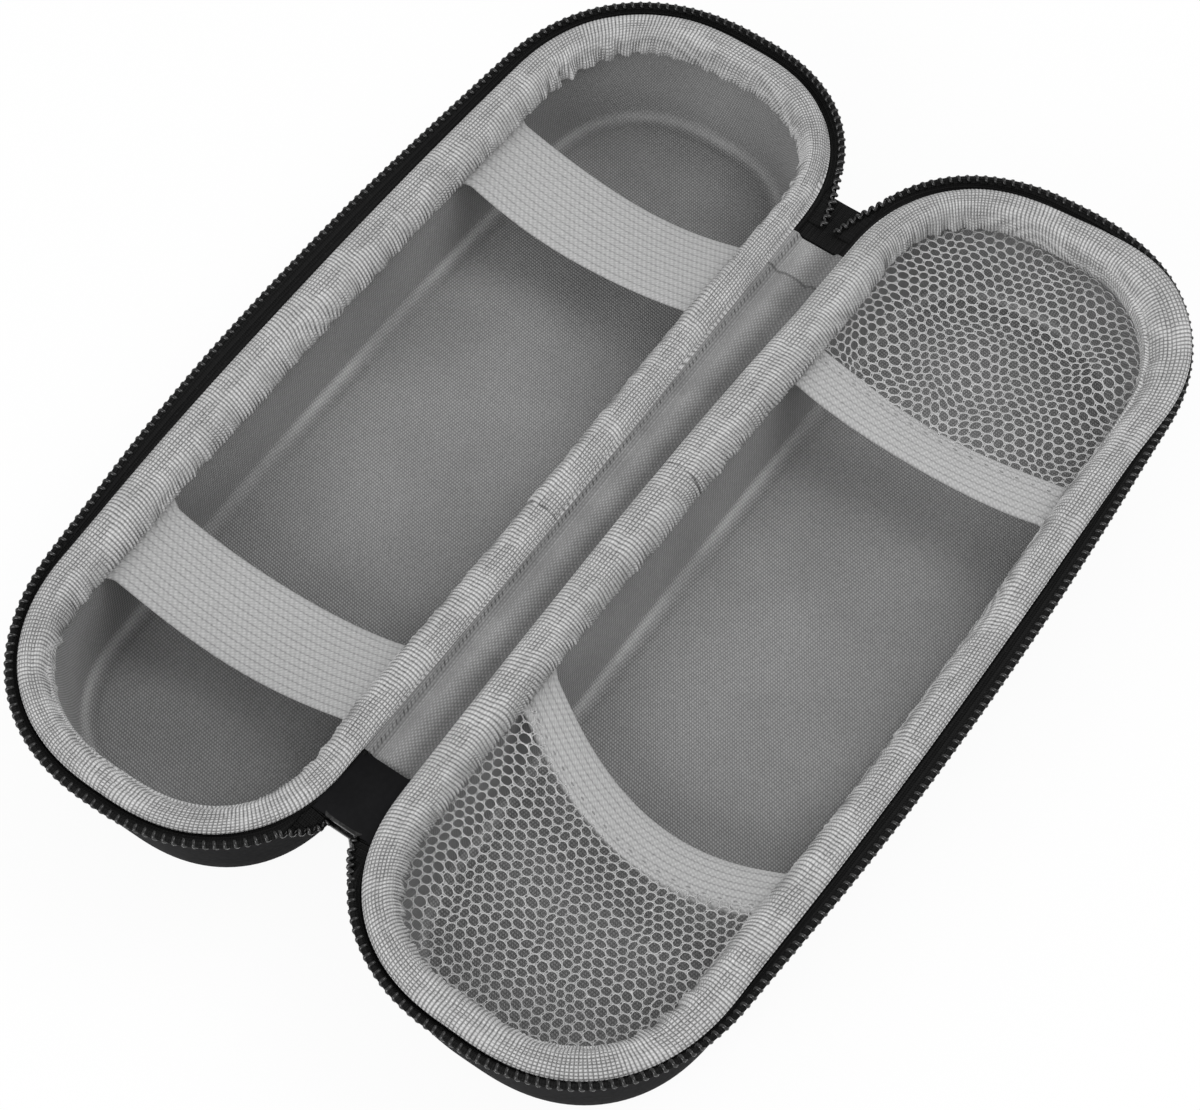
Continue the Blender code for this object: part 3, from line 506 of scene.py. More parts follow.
class Finish(Nodes):
    """A material in the making."""

    def __init__(self, name, slot, **constants):
        self.material = bpy.data.materials.new(name)
        self.material.use_nodes = True
        self.material["slot"] = slot
        super().__init__(self.material.node_tree)
        self.shader = self.tree.nodes["Principled BSDF"]
        for key, value in constants.items():
            self.shader.inputs[key.replace("_", " ").title().replace("Ior", "IOR")].default_value = value

    def cloth(self):
        """The two places, in metres, on the piece's own map."""
        place = self.add("ShaderNodeUVMap", uv_map="cloth").outputs[0]
        split = self.add("ShaderNodeSeparateXYZ", {0: place})
        return split.outputs[0], split.outputs[1]

    def place(self):
        """The place in the object's own frame, in metres."""
        return self.add("ShaderNodeTexCoord").outputs["Object"]

    def attribute(self, name):
        """A value that the piece's own mesh carries."""
        return self.add("ShaderNodeAttribute", attribute_name=name).outputs["Fac"]

    def noise(self, size, detail=2.0, rough=0.5):
        """Soft noise from 0 to 1 whose marks are about a given size."""
        inputs = {"Vector": self.place(), "Scale": 1 / size, "Detail": detail, "Roughness": rough}
        return self.add("ShaderNodeTexNoise", inputs).outputs[0]

    def cells(self, size, **settings):
        """The distance from the middles of irregular cells of a given size."""
        inputs = {"Vector": self.place(), "Scale": 1 / size}
        return self.add("ShaderNodeTexVoronoi", inputs, **settings).outputs[0]

    def ramp(self, value, low, high, to_low=0.0, to_high=1.0, kind="LINEAR"):
        """A value moved from one range to another and clamped."""
        inputs = {0: value, 1: low, 2: high, 3: to_low, 4: to_high}
        return self.add("ShaderNodeMapRange", inputs, interpolation_type=kind).outputs[0]

    def patchy(self, size, low, high, to_low, to_high):
        """A value that changes in soft patches of a given size."""
        return self.ramp(self.noise(size), low, high, to_low, to_high)

    def sway(self, size, reach):
        """A shift, up to a reach each way, that changes over a given size."""
        return self.times(self.ramp(self.noise(size), 0, 1, -1, 1), reach)

    def beside(self, value, place, low, high, to_low, to_high):
        """A value for the distance from a place, moved from one range to another and clamped."""
        return self.ramp(self.math("ABSOLUTE", self.plus(value, -place)), low, high, to_low, to_high)

    def wave(self, value, pitch):
        """The absolute cosine of a place over a thread's pitch, and the cosine itself."""
        turned = self.math("COSINE", self.times(value, math.pi / pitch))
        return self.math("ABSOLUTE", turned), turned

    def tint(self, colour_value, level):
        """Join a colour scaled by a level."""
        inputs = {0: (*colour_value,), 3: level}
        scaled = self.add("ShaderNodeVectorMath", inputs, operation="SCALE").outputs[0]
        self.tree.links.new(scaled, self.shader.inputs["Base Color"])

    def rough(self, value):
        """Join the roughness."""
        self.tree.links.new(value, self.shader.inputs["Roughness"])

    def bump(self, height, depth, strength=1.0, under=None):
        """A bump of a given depth, in metres, over an earlier one."""
        inputs = {"Height": height, "Distance": depth, "Strength": strength}
        if under is not None:
            inputs["Normal"] = under
        made = self.add("ShaderNodeBump", inputs).outputs[0]
        self.tree.links.new(made, self.shader.inputs["Normal"])
        return made


@cache
def once(maker):
    """The material or the pattern that a maker gives, made only once."""
    return maker()


def leatherette():
    """Smooth black leatherette with a fine, soft grain."""
    c = bpy.context.scene.case_colours
    f = Finish("Black leatherette", "black_leatherette", roughness=0.7, specular_ior_level=0.03)
    grain = f.cells(0.9 * MM, feature="SMOOTH_F1")
    cloudy = f.noise(14 * MM)
    f.tint(c.leatherette, f.plus(f.ramp(cloudy, 0.3, 0.7, 0.85, 1.25), f.ramp(grain, 0.2, 0.7, 0.12, 0.0)))
    f.rough(f.plus(f.ramp(cloudy, 0.3, 0.7, 0.62, 0.74), f.ramp(grain, 0, 1, 0.0, 0.08)))
    f.bump(f.noise(3.5 * MM), 0.12 * MM, 0.6, f.bump(grain, 0.05 * MM))
    return f.material


def moulded_foam():
    """Matt dark foam with fine cells."""
    c = bpy.context.scene.case_colours
    f = Finish("Dark foam", "dark_foam", roughness=0.85)
    cells = f.cells(0.5 * MM)
    f.tint(c.foam, f.ramp(cells, 0, 0.7, 1.2, 0.7))
    f.bump(cells, 0.06 * MM)
    return f.material


VIEW_RIGHT = (0.829, 0.559)  # in plan, the way to the right as the camera stands


def knit_lining():
    """Mid-grey knit: staggered loops in fine columns, matt, paler round the fillet where it is stretched and
    a highlight is painted, with painted shade just inside.
    """
    c = bpy.context.scene.case_colours
    soft = {"roughness": 0.92, "specular_ior_level": 0.2, "sheen_weight": 0.12, "sheen_roughness": 0.5}
    f = Finish("Knit lining", "grey_lining", **soft)
    u, v = f.cloth()
    column, loop = 0.46 * MM, 0.43 * MM
    sway = f.sway(18 * MM, 0.4 * MM)
    ahead, aslant = VIEW_RIGHT
    across = f.plus(f.plus(f.times(u, ahead), f.times(v, aslant)), sway)
    along = f.plus(f.plus(f.times(v, ahead), f.times(u, -aslant)), sway)
    columns, cos_u = f.wave(across, column)
    loops = f.times(cos_u, f.wave(along, loop)[1])
    height = f.plus(f.times(loops, 0.5), f.times(columns, 0.4))
    fleck = f.patchy(0.8 * MM, 0.3, 0.7, -0.07, 0.07)
    # Painted highlight and painted shade of the fillet's band, which is partly stretched knit too.
    paler = f.times(f.attribute("stretch"), f.patchy(26 * MM, 0.38, 0.62, 0.14, 0.5))
    # Painted shade: darker in the knit's hollows and lighter on its loops' tops, with real flecks.
    tone = f.plus(f.ramp(height, -0.4, 0.8, 0.4, 1.5), f.plus(fleck, paler))
    f.tint(c.lining, f.times(tone, f.patchy(24 * MM, 0.35, 0.65, 0.93, 1.07)))
    f.bump(f.noise(6 * MM), 0.25 * MM, 0.5, f.bump(height, 0.16 * MM))
    return f.material


BINDING_LINE = 0.76 * MM  # spacing of the threads that run along the binding
BINDING_SEAMS = (4.5 * MM, 5.6 * MM)  # across the binding from its outer edge, its two rows of stitches


def ribbed_binding():
    """Pale grey binding: woven squares and bars in patches, more bars inside, and two rows of stitches with
    painted shade along them.
    """
    c = bpy.context.scene.case_colours
    cloth = bpy.context.scene.case_cloth
    soft = {"roughness": 0.88, "specular_ior_level": 0.25, "sheen_weight": 0.15, "sheen_roughness": 0.4}
    f = Finish("Ribbed binding", "pale_grey_binding", **soft)
    u, v = f.cloth()
    inner = f.ramp(v, 5.0 * MM, 7.4 * MM, 0.0, 0.14)
    inner = f.ramp(f.plus(f.noise(9 * MM), inner), 0.5, 0.62, 0.0, 1.0, "SMOOTHSTEP")
    sway = f.sway(7 * MM, 0.3 * MM)
    slant = f.times(v, f.patchy(34 * MM, 0.3, 0.7, -0.12, 0.3))
    ribs, cos_u = f.wave(f.plus(u, slant), cloth.rib)
    lines, cos_v = f.wave(f.plus(v, sway), BINDING_LINE)
    crossed = f.times(f.times(cos_u, cos_v), 0.18)
    squares = f.plus(f.times(f.math("MINIMUM", ribs, lines), 1.14), crossed)
    barred = f.times(ribs, f.plus(f.times(lines, 0.5), 0.5))
    height = f.plus(f.times(squares, f.minus(1.0, inner)), f.times(barred, inner))
    # Painted shade: darker in the weave's hollows and lighter on its threads' tops, with real flecks.
    tone = f.plus(f.ramp(height, 0.1, 0.78, 0.42, 1.24), f.patchy(0.6 * MM, 0.3, 0.7, -0.12, 0.12))
    # The two rows of stitches: dashes of thread, with painted shade along their soft grooves.
    dashes = f.ramp(f.wave(u, 1.5 * MM)[0], 0.2, 0.8, 0.3, 1.0)
    waved = f.plus(v, f.times(sway, 1.6))
    rows = [f.beside(waved, at, 0.1 * MM, 0.5 * MM, 0.12, 0.0) for at in BINDING_SEAMS]
    stitch_rows_and_shade = f.times(f.plus(*rows), dashes)
    cloudy = f.patchy(8 * MM, 0.3, 0.7, 0.9, 1.06)
    # Painted shadow: a dark line where the binding's overlapping end steps down onto its start.
    overlap_shadow = f.ramp(f.plus(u, f.times(sway, 1.3)), 0.2 * MM, 0.6 * MM, 0.36, 1.0)
    overlap_shadow = f.math("MINIMUM", 1.0, f.plus(overlap_shadow, f.patchy(3 * MM, 0.45, 0.6, 0.0, 0.5)))
    f.tint(c.binding, f.times(f.times(f.minus(tone, stitch_rows_and_shade), cloudy), overlap_shadow))
    f.bump(f.noise(2.2 * MM), 0.2 * MM, 0.5, f.bump(height, 0.26 * MM))
    return f.material


ELASTIC_RIB = 1.5 * MM  # cloth from one groove of the elastic to the next


def ribbed_elastic():
    """Pale grey elastic: fine slanted threads, and painted shade in beads along the grooves that the shape
    has.
    """
    c = bpy.context.scene.case_colours
    soft = {"roughness": 0.85, "specular_ior_level": 0.25, "sheen_weight": 0.12, "sheen_roughness": 0.4}
    f = Finish("Ribbed elastic", "grey_elastic", **soft)
    u, v = f.cloth()
    thread, line, bead = 0.6 * MM, 0.5 * MM, 0.9 * MM
    sway = f.sway(4 * MM, 0.15 * MM)
    twist, cos_u = f.wave(f.plus(u, f.plus(sway, f.times(v, 0.5))), thread)
    cos_v = f.wave(f.plus(v, sway), line)[1]
    height = f.plus(f.times(f.times(cos_u, cos_v), 0.45), f.times(twist, 0.25))
    # Painted shade: darker in the threads' hollows and lighter on their tops, with real flecks.
    tone = f.plus(f.ramp(height, -0.2, 0.8, 0.84, 1.2), f.patchy(0.6 * MM, 0.3, 0.7, -0.08, 0.08))
    # Painted shade: the grooves of the ribbed shape are darker, in beads along them.
    groove = f.ramp(f.wave(f.plus(v, f.times(sway, 0.5)), ELASTIC_RIB)[0], 0.0, 0.5, 1.0, 0.0)
    uneven = f.plus(u, f.times(f.noise(1.6 * MM), 3 * MM))
    beads = f.ramp(f.wave(uneven, bead)[0], 0.2, 0.8, 0.42, 0.26)
    f.tint(c.elastic, f.minus(tone, f.times(groove, beads)))
    f.bump(height, 0.09 * MM)
    return f.material


def knitted_net():
    """Pale grey net strands, with painted shade in the groove between their two yarns."""
    c = bpy.context.scene.case_colours
    f = Finish("Knitted net", "grey_net", roughness=0.8, specular_ior_level=0.3, sheen_weight=0.1)
    yarn = f.noise(0.32 * MM, 1.0)
    # Painted shade: darker in the groove between a strand's two yarns and paler on their lifted edges.
    edge = f.ramp(f.attribute("yarn"), 0.1, 0.6, 0.5, 1.15)
    tone = f.times(f.ramp(yarn, 0.3, 0.7, 0.84, 1.14), edge)
    f.tint(c.net, f.times(tone, f.patchy(9 * MM, 0.3, 0.7, 0.94, 1.06)))
    f.bump(yarn, 0.08 * MM)
    return f.material


WEB_CREASE = 65 * MM  # along Y, where the web's far end is folded under
WEB_SEAM = -4.75 * MM  # across the web, its row of slanted stitches beside the base's binding


def hinge_cloth():
    """Mid-grey hinge cloth: fine lines by the base, knots by the lid, a crease and slanted stitches, with
    painted shade beside both bindings and along the crease.
    """
    c = bpy.context.scene.case_colours
    f = Finish("Hinge cloth", "grey_web", roughness=0.75, specular_ior_level=0.3, sheen_weight=0.1)
    u, v = f.cloth()
    cos_u = f.wave(f.plus(u, f.sway(9 * MM, 0.4 * MM)), 0.5 * MM)[1]
    lines, cos_v = f.wave(v, 0.46 * MM)
    knots = f.ramp(v, -2.5 * MM, 0.5 * MM, 0.2, 0.55)
    height = f.plus(f.times(f.times(cos_u, cos_v), knots), f.times(lines, 0.5))
    fleck = f.patchy(0.8 * MM, 0.3, 0.7, -0.08, 0.08)
    # Painted shade: darker towards the lid's binding and beside the base's binding, where the web falls into
    # valleys.
    lid_side_shade = f.ramp(v, -1.5 * MM, 3.8 * MM, 1.0, 0.5, "SMOOTHSTEP")
    base_side_shade = f.ramp(v, -4.6 * MM, -3.0 * MM, 0.8, 1.0, "SMOOTHSTEP")
    hem = f.ramp(u, WEB_CREASE, WEB_CREASE + 0.4 * MM, 1.0, 1.18)
    # Painted shade: a dark line along the crease where the far end is folded under.
    fold = f.beside(u, WEB_CREASE, 0.15 * MM, 0.5 * MM, 0.55, 1.0)
    cloudy = f.patchy(12 * MM, 0.35, 0.65, 0.86, 1.1)
    shade = f.times(f.times(lid_side_shade, base_side_shade), f.times(f.times(hem, fold), cloudy))
    slanted = f.ramp(f.wave(f.plus(u, f.times(v, 0.9)), 1.2 * MM)[0], 0.3, 0.7, 0.5, 0.0)
    slanted = f.times(slanted, f.patchy(1.7 * MM, 0.4, 0.6, 0.8, 1.5))
    in_row = f.beside(v, WEB_SEAM, 0.2 * MM, 0.6 * MM, 1.0, 0.0)
    shade = f.times(shade, f.minus(1.0, f.times(slanted, in_row)))
    # Painted shade: darker in the weave's hollows and lighter on its threads' tops, with real flecks.
    f.tint(c.web, f.times(f.plus(f.ramp(height, -0.3, 0.9, 0.5, 1.42), fleck), shade))
    f.bump(f.noise(7 * MM), 0.5 * MM, 0.5, f.bump(height, 0.14 * MM))
    return f.material


def woven_tape():
    """Black zip tape: a tight herringbone, matt, with lint."""
    c = bpy.context.scene.case_colours
    f = Finish("Woven tape", "black_tape", roughness=0.8, specular_ior_level=0.12)
    u, v = f.cloth()
    ribs, cos_u = f.wave(u, 0.55 * MM)
    lines, cos_v = f.wave(v, 0.4 * MM)
    crossed = f.times(f.times(cos_u, cos_v), 0.6)
    height = f.math("MAXIMUM", f.plus(ribs, crossed), f.minus(lines, crossed))
    lint = f.patchy(0.5 * MM, 0.62, 0.75, 0.0, 2.2)
    rows = f.ramp(f.wave(v, 1.15 * MM)[0], 0.8, 1.0, 0.0, 1.0)
    # Painted shade: darker in the weave's hollows and lighter on its threads' tops, with real lint and rows.
    f.tint(c.tape, f.plus(f.plus(f.ramp(height, 0.4, 1.4, 0.5, 1.6), lint), f.times(rows, 0.7)))
    f.bump(rows, 0.2 * MM, 1.0, f.bump(height, 0.12 * MM))
    return f.material


def nylon_coil():
    """Glossy black nylon."""
    c = bpy.context.scene.case_colours
    f = Finish("Nylon coil", "black_coil", roughness=0.2, specular_ior_level=0.6)
    cloudy = f.noise(2.5 * MM)
    f.tint(c.coil, f.ramp(cloudy, 0.3, 0.7, 0.8, 1.3))
    f.rough(f.ramp(cloudy, 0.3, 0.7, 0.14, 0.28))
    f.bump(f.noise(0.5 * MM), 0.02 * MM)
    return f.material


def sewing_thread():
    """Dark grey polyester thread."""
    c = bpy.context.scene.case_colours
    f = Finish("Grey thread", "grey_elastic", roughness=0.6, specular_ior_level=0.3)
    twist = f.noise(0.25 * MM, 1.0)
    f.tint(c.thread, f.ramp(twist, 0.3, 0.7, 0.8, 1.3))
    f.bump(twist, 0.05 * MM)
    return f.material


def plated_metal():
    """Black plated metal with fine wear."""
    c = bpy.context.scene.case_colours
    f = Finish("Black metal", "black_metal", roughness=0.3, metallic=0.85)
    worn = f.noise(1.2 * MM, 4.0, 0.6)
    f.tint(c.metal, f.ramp(worn, 0.45, 0.75, 1.0, 3.0))
    f.rough(f.ramp(worn, 0.3, 0.7, 0.24, 0.4))
    f.bump(f.noise(0.4 * MM), 0.012 * MM)
    return f.material


# Geometry Nodes


class Pattern(Nodes):
    """A Geometry Nodes tree in the making."""

    def __init__(self, name, sizes):
        super().__init__(bpy.data.node_groups.new(name, "GeometryNodeTree"))
        face = self.tree.interface
        face.new_socket("Geometry", in_out="INPUT", socket_type="NodeSocketGeometry")
        for size in sizes:
            face.new_socket(size, in_out="INPUT", socket_type="NodeSocketFloat")
        face.new_socket("Material", in_out="INPUT", socket_type="NodeSocketMaterial")
        face.new_socket("Geometry", in_out="OUTPUT", socket_type="NodeSocketGeometry")
        self.start = self.tree.nodes.new("NodeGroupInput").outputs

    def vector(self, operation, inputs):
        """The result of a Vector Math node."""
        return self.add("ShaderNodeVectorMath", inputs, operation=operation).outputs[0]

    def smooth(self, geometry):
        """Geometry shaded smooth."""
        return self.add("GeometryNodeSetShadeSmooth", {0: geometry, "Shade Smooth": True}).outputs[0]

    def close(self, geometry):
        """End the tree in Realize Instances and Set Material."""
        real = self.add("GeometryNodeRealizeInstances", {0: geometry}).outputs[0]
        parts = {0: real, "Material": self.start["Material"]}
        dressed = self.add("GeometryNodeSetMaterial", parts).outputs[0]
        self.tree.links.new(dressed, self.tree.nodes.new("NodeGroupOutput").inputs[0])
        return self.tree


WELD = 0.01 * MM  # points nearer than this become one
COIL_STEPS = 12.0  # points to one turn of the coil's wire
COIL_LEAN = 0.14  # how far a turn's sides lean along the row, as a share of its pitch


def coil_pattern():
    """A tree that winds a flat coil along a line of edges."""
    p = Pattern("Zip coil", ["Pitch", "Width", "Height", "Wire"])
    pitch, up = p.start["Pitch"], (0, 0, 1)
    line = p.add("GeometryNodeMeshToCurve", {0: p.start["Geometry"]}).outputs[0]
    step = p.math("DIVIDE", pitch, COIL_STEPS)
    fine = p.add("GeometryNodeResampleCurve", {"Curve": line, "Length": step}, mode="LENGTH").outputs[0]
    walked = p.add("GeometryNodeSplineParameter").outputs["Length"]
    turn = p.times(p.math("DIVIDE", walked, pitch), 2 * math.pi)
    aside_share, up_share = p.math("COSINE", turn), p.math("SINE", turn)
    ahead = p.add("GeometryNodeInputTangent").outputs[0]
    across = p.vector("NORMALIZE", {0: p.vector("CROSS_PRODUCT", {0: up, 1: ahead})})
    wide = p.vector("SCALE", {0: across, 3: p.times(aside_share, p.times(p.start["Width"], 0.5))})
    tall = p.vector("SCALE", {0: up, 3: p.times(up_share, p.times(p.start["Height"], 0.5))})
    lean = p.vector("SCALE", {0: ahead, 3: p.times(aside_share, p.times(pitch, COIL_LEAN))})
    offset = p.vector("ADD", {0: p.vector("ADD", {0: wide, 1: tall}), 1: lean})
    wound = p.add("GeometryNodeSetPosition", {"Geometry": fine, "Offset": offset}).outputs[0]
    section = p.add("GeometryNodeCurvePrimitiveCircle", {"Resolution": 7}, mode="RADIUS")
    p.tree.links.new(p.times(p.start["Wire"], 0.5), section.inputs["Radius"])
    parts = {"Curve": wound, "Profile Curve": section.outputs[0], "Fill Caps": True}
    return p.close(p.smooth(p.add("GeometryNodeCurveToMesh", parts).outputs[0]))


def stitch_pattern():
    """A tree that lays short stitches along a line of edges."""
    p = Pattern("Stitches", ["Spacing", "Length", "Thickness"])
    line = p.add("GeometryNodeMeshToCurve", {0: p.start["Geometry"]}).outputs[0]
    spots = p.add("GeometryNodeCurveToPoints", {"Curve": line, "Length": p.start["Spacing"]}, mode="LENGTH")
    ahead = {"Vector": spots.outputs["Tangent"]}
    turn = p.add("FunctionNodeAlignRotationToVector", ahead, axis="X").outputs[0]
    bead = p.add("GeometryNodeMeshUVSphere", {"Segments": 6, "Rings": 5, "Radius": 0.5}).outputs[0]
    thickness = p.start["Thickness"]
    size = p.add("ShaderNodeCombineXYZ", {0: p.start["Length"], 1: thickness, 2: thickness}).outputs[0]
    laid = {"Points": spots.outputs["Points"], "Instance": p.smooth(bead), "Rotation": turn, "Scale": size}
    return p.close(p.add("GeometryNodeInstanceOnPoints", laid).outputs[0])


def net_pattern():
    """A tree that turns a sheet of cells into a net: a hole in each cell, strands with a thickness."""
    p = Pattern("Pocket net", ["Thickness"])
    thickness = p.start["Thickness"]
    holes = p.add("GeometryNodeInputNamedAttribute", {"Name": "hole"}, data_type="FLOAT").outputs[0]
    split = {"Mesh": p.start["Geometry"], "Offset Scale": 0.0, "Individual": True}
    cut = p.add("GeometryNodeExtrudeMesh", split, mode="FACES").outputs
    middles = {"Selection": cut["Top"]}
    shrunk = {"Geometry": cut["Mesh"], "Scale": holes, **middles}
    made = p.add("GeometryNodeScaleElements", shrunk, domain="FACE").outputs[0]
    # The hole's edge is lifted, which leaves a groove between the two yarns of a strand.
    marked = {"Geometry": made, "Name": "yarn", "Value": 1.0, **middles}
    made = p.add("GeometryNodeStoreNamedAttribute", marked, data_type="FLOAT", domain="POINT").outputs[0]
    lift = p.add("ShaderNodeCombineXYZ", {"Z": p.times(thickness, 0.5)}).outputs[0]
    made = p.add("GeometryNodeSetPosition", {"Geometry": made, "Offset": lift, **middles}).outputs[0]
    opened = {"Geometry": made, **middles}
    made = p.add("GeometryNodeDeleteGeometry", opened, domain="FACE", mode="ALL").outputs[0]
    raised = {"Mesh": made, "Offset Scale": thickness, "Individual": False}
    above = p.add("GeometryNodeExtrudeMesh", raised, mode="FACES").outputs[0]
    below = p.add("GeometryNodeFlipFaces", {0: made}).outputs[0]
    both = p.tree.nodes.new("GeometryNodeJoinGeometry")
    for half in (above, below):
        p.tree.links.new(half, both.inputs[0])
    whole = {"Geometry": both.outputs[0], "Distance": WELD}
    whole = p.add("GeometryNodeMergeByDistance", whole).outputs[0]
    soft = p.add("GeometryNodeSubdivisionSurface", {"Mesh": whole, "Level": 1}).outputs[0]
    return p.close(p.smooth(soft))


def patterned(name, mesh, pattern, maker, **sizes):
    """The plain mesh that a pattern makes of another mesh, with the material that a maker gives."""
    tree = once(pattern)
    carrier = bpy.data.objects.new(name + "_carrier", mesh)
    bpy.context.scene.collection.objects.link(carrier)
    made = carrier.modifiers.new("Pattern", "NODES")
    made.node_group = tree
    values = {**{k.title(): v for k, v in sizes.items()}, "Material": once(maker)}
    for item in tree.interface.items_tree:
        if item.in_out == "INPUT" and item.name in values:
            made[item.identifier] = values[item.name]
    bpy.context.view_layer.update()
    seen = carrier.evaluated_get(bpy.context.evaluated_depsgraph_get())
    result = bpy.data.meshes.new_from_object(seen)
    result.name = name
    bpy.data.objects.remove(carrier)
    if not len(result.polygons):
        raise RuntimeError(f"the pattern for {name} came out empty")
    return result


# Shells and bindings


class CasePiece(bpy.types.Operator):
    """Common ground of the operators that build pieces of the case."""

    bl_options = {"REGISTER", "UNDO"}

    def execute(self, context):
        self.build(context.scene)
        return {"FINISHED"}


LINING_BEAD = 0.35 * MM  # how far the lining stands off its fillet, where it bridges the corner


class CASE_OT_shells(CasePiece):
    """Make both moulded shells: leatherette outside, foam between, knit lining inside"""

    bl_idname = "case.make_shells"
    bl_label = "Make shells"

    def build(self, scene):
        s = scene.case_shape
        foam_at = s.skin + s.gap
        lining_at = foam_at + s.foam + s.gap
        layers = (
            ("leatherette_shell", leatherette, "outer_skin", 0.0, s.skin, 0.0),
            ("moulded_foam", moulded_foam, "foam_shell", foam_at, foam_at + s.foam, 0.0),
            ("knit_lining", knit_lining, "lining", lining_at, lining_at + s.lining, LINING_BEAD),
        )
        for body, side in SIDES.items():
            for name, maker, node, shallow, deep, bead in layers:
                mesh = shell_layer(f"{body}_{name}", side, shallow, deep, bead)
                piece(mesh.name, mesh, maker, body, [f"{body}_{node}"])


WALL = 5.1 * MM  # from the outside of a shell to the inside of its lining
RIB_STEPS = 4  # points to each rib of the binding
# The roll's section, from its outer edge over its top and down inside, in shares of its width and its rise
ROLL_SHARES = (
    *((0.03, 0.1), (0.0, 0.3), (0.04, 0.55), (0.12, 0.8), (0.24, 0.96), (0.36, 1.0), (0.46, 0.93)),
    *((0.52, 0.9), (0.59, 0.96), (0.68, 0.86), (0.78, 0.58), (0.87, 0.16), (0.94, -0.35), (0.99, -0.9)),
)
PRESSED_SHARE = 0.49  # across the roll, where its stitches press it down
PRESSED_SPREAD = 0.004  # the square of how wide that groove is
# Where on the hinge side each binding's ends overlap, the seed of its puckers and how loose it is at corners
BINDINGS = {
    "base": {"joint_y": -12.3 * MM, "seed": 3, "loose": 0.32},
    "lid": {"joint_y": 11.2 * MM, "seed": 8, "loose": 0.2},
}
# Places round the rim, in millimetres: where the binding's outer and inner edges run, and the zip's row
SEAM_PLACES = {
    "base": (1.4, 1.4, 1.4, 1.2, 0.3, -0.1, -0.2, -0.1, 0, 0, -0.3, -0.2)
    + (0, 0.1, 0.3, 0.6, 0.9, 0.9, 1.0, 1.2, 1.9, 1.6, 1.5, 1.4),
    "lid": (0, 0, 0, 0, 0, 0.1, 0, -1.1, -0.6, -0.3, -0.5, -0.5)
    + (-0.5, -0.5, -0.5, -1.0, -3.2, -3.2, -0.1, 1.0, 1.6, 1.6, 0.7, 0.2),
}
EDGE_PLACES = {
    "base": (9.1, 8.9, 9.0, 9.2, 7.2, 6.3, 6.0, 5.6, 7.4, 8.6, 8.7, 9.1)
    + (9.2, 9.2, 9.1, 9.2, 9.0, 8.7, 9.1, 8.3, 7.2, 8.4, 9.2, 9.2),
    "lid": (8.8, 8.3, 7.8, 8.0, 7.8, 7.4, 7.9, 6.3, 7.8, 8.4, 7.5, 7.2)
    + (7.2, 7.4, 7.5, 7.3, 5.8, 6.6, 7.9, 8.2, 8.8, 9.8, 9.8, 9.2),
}


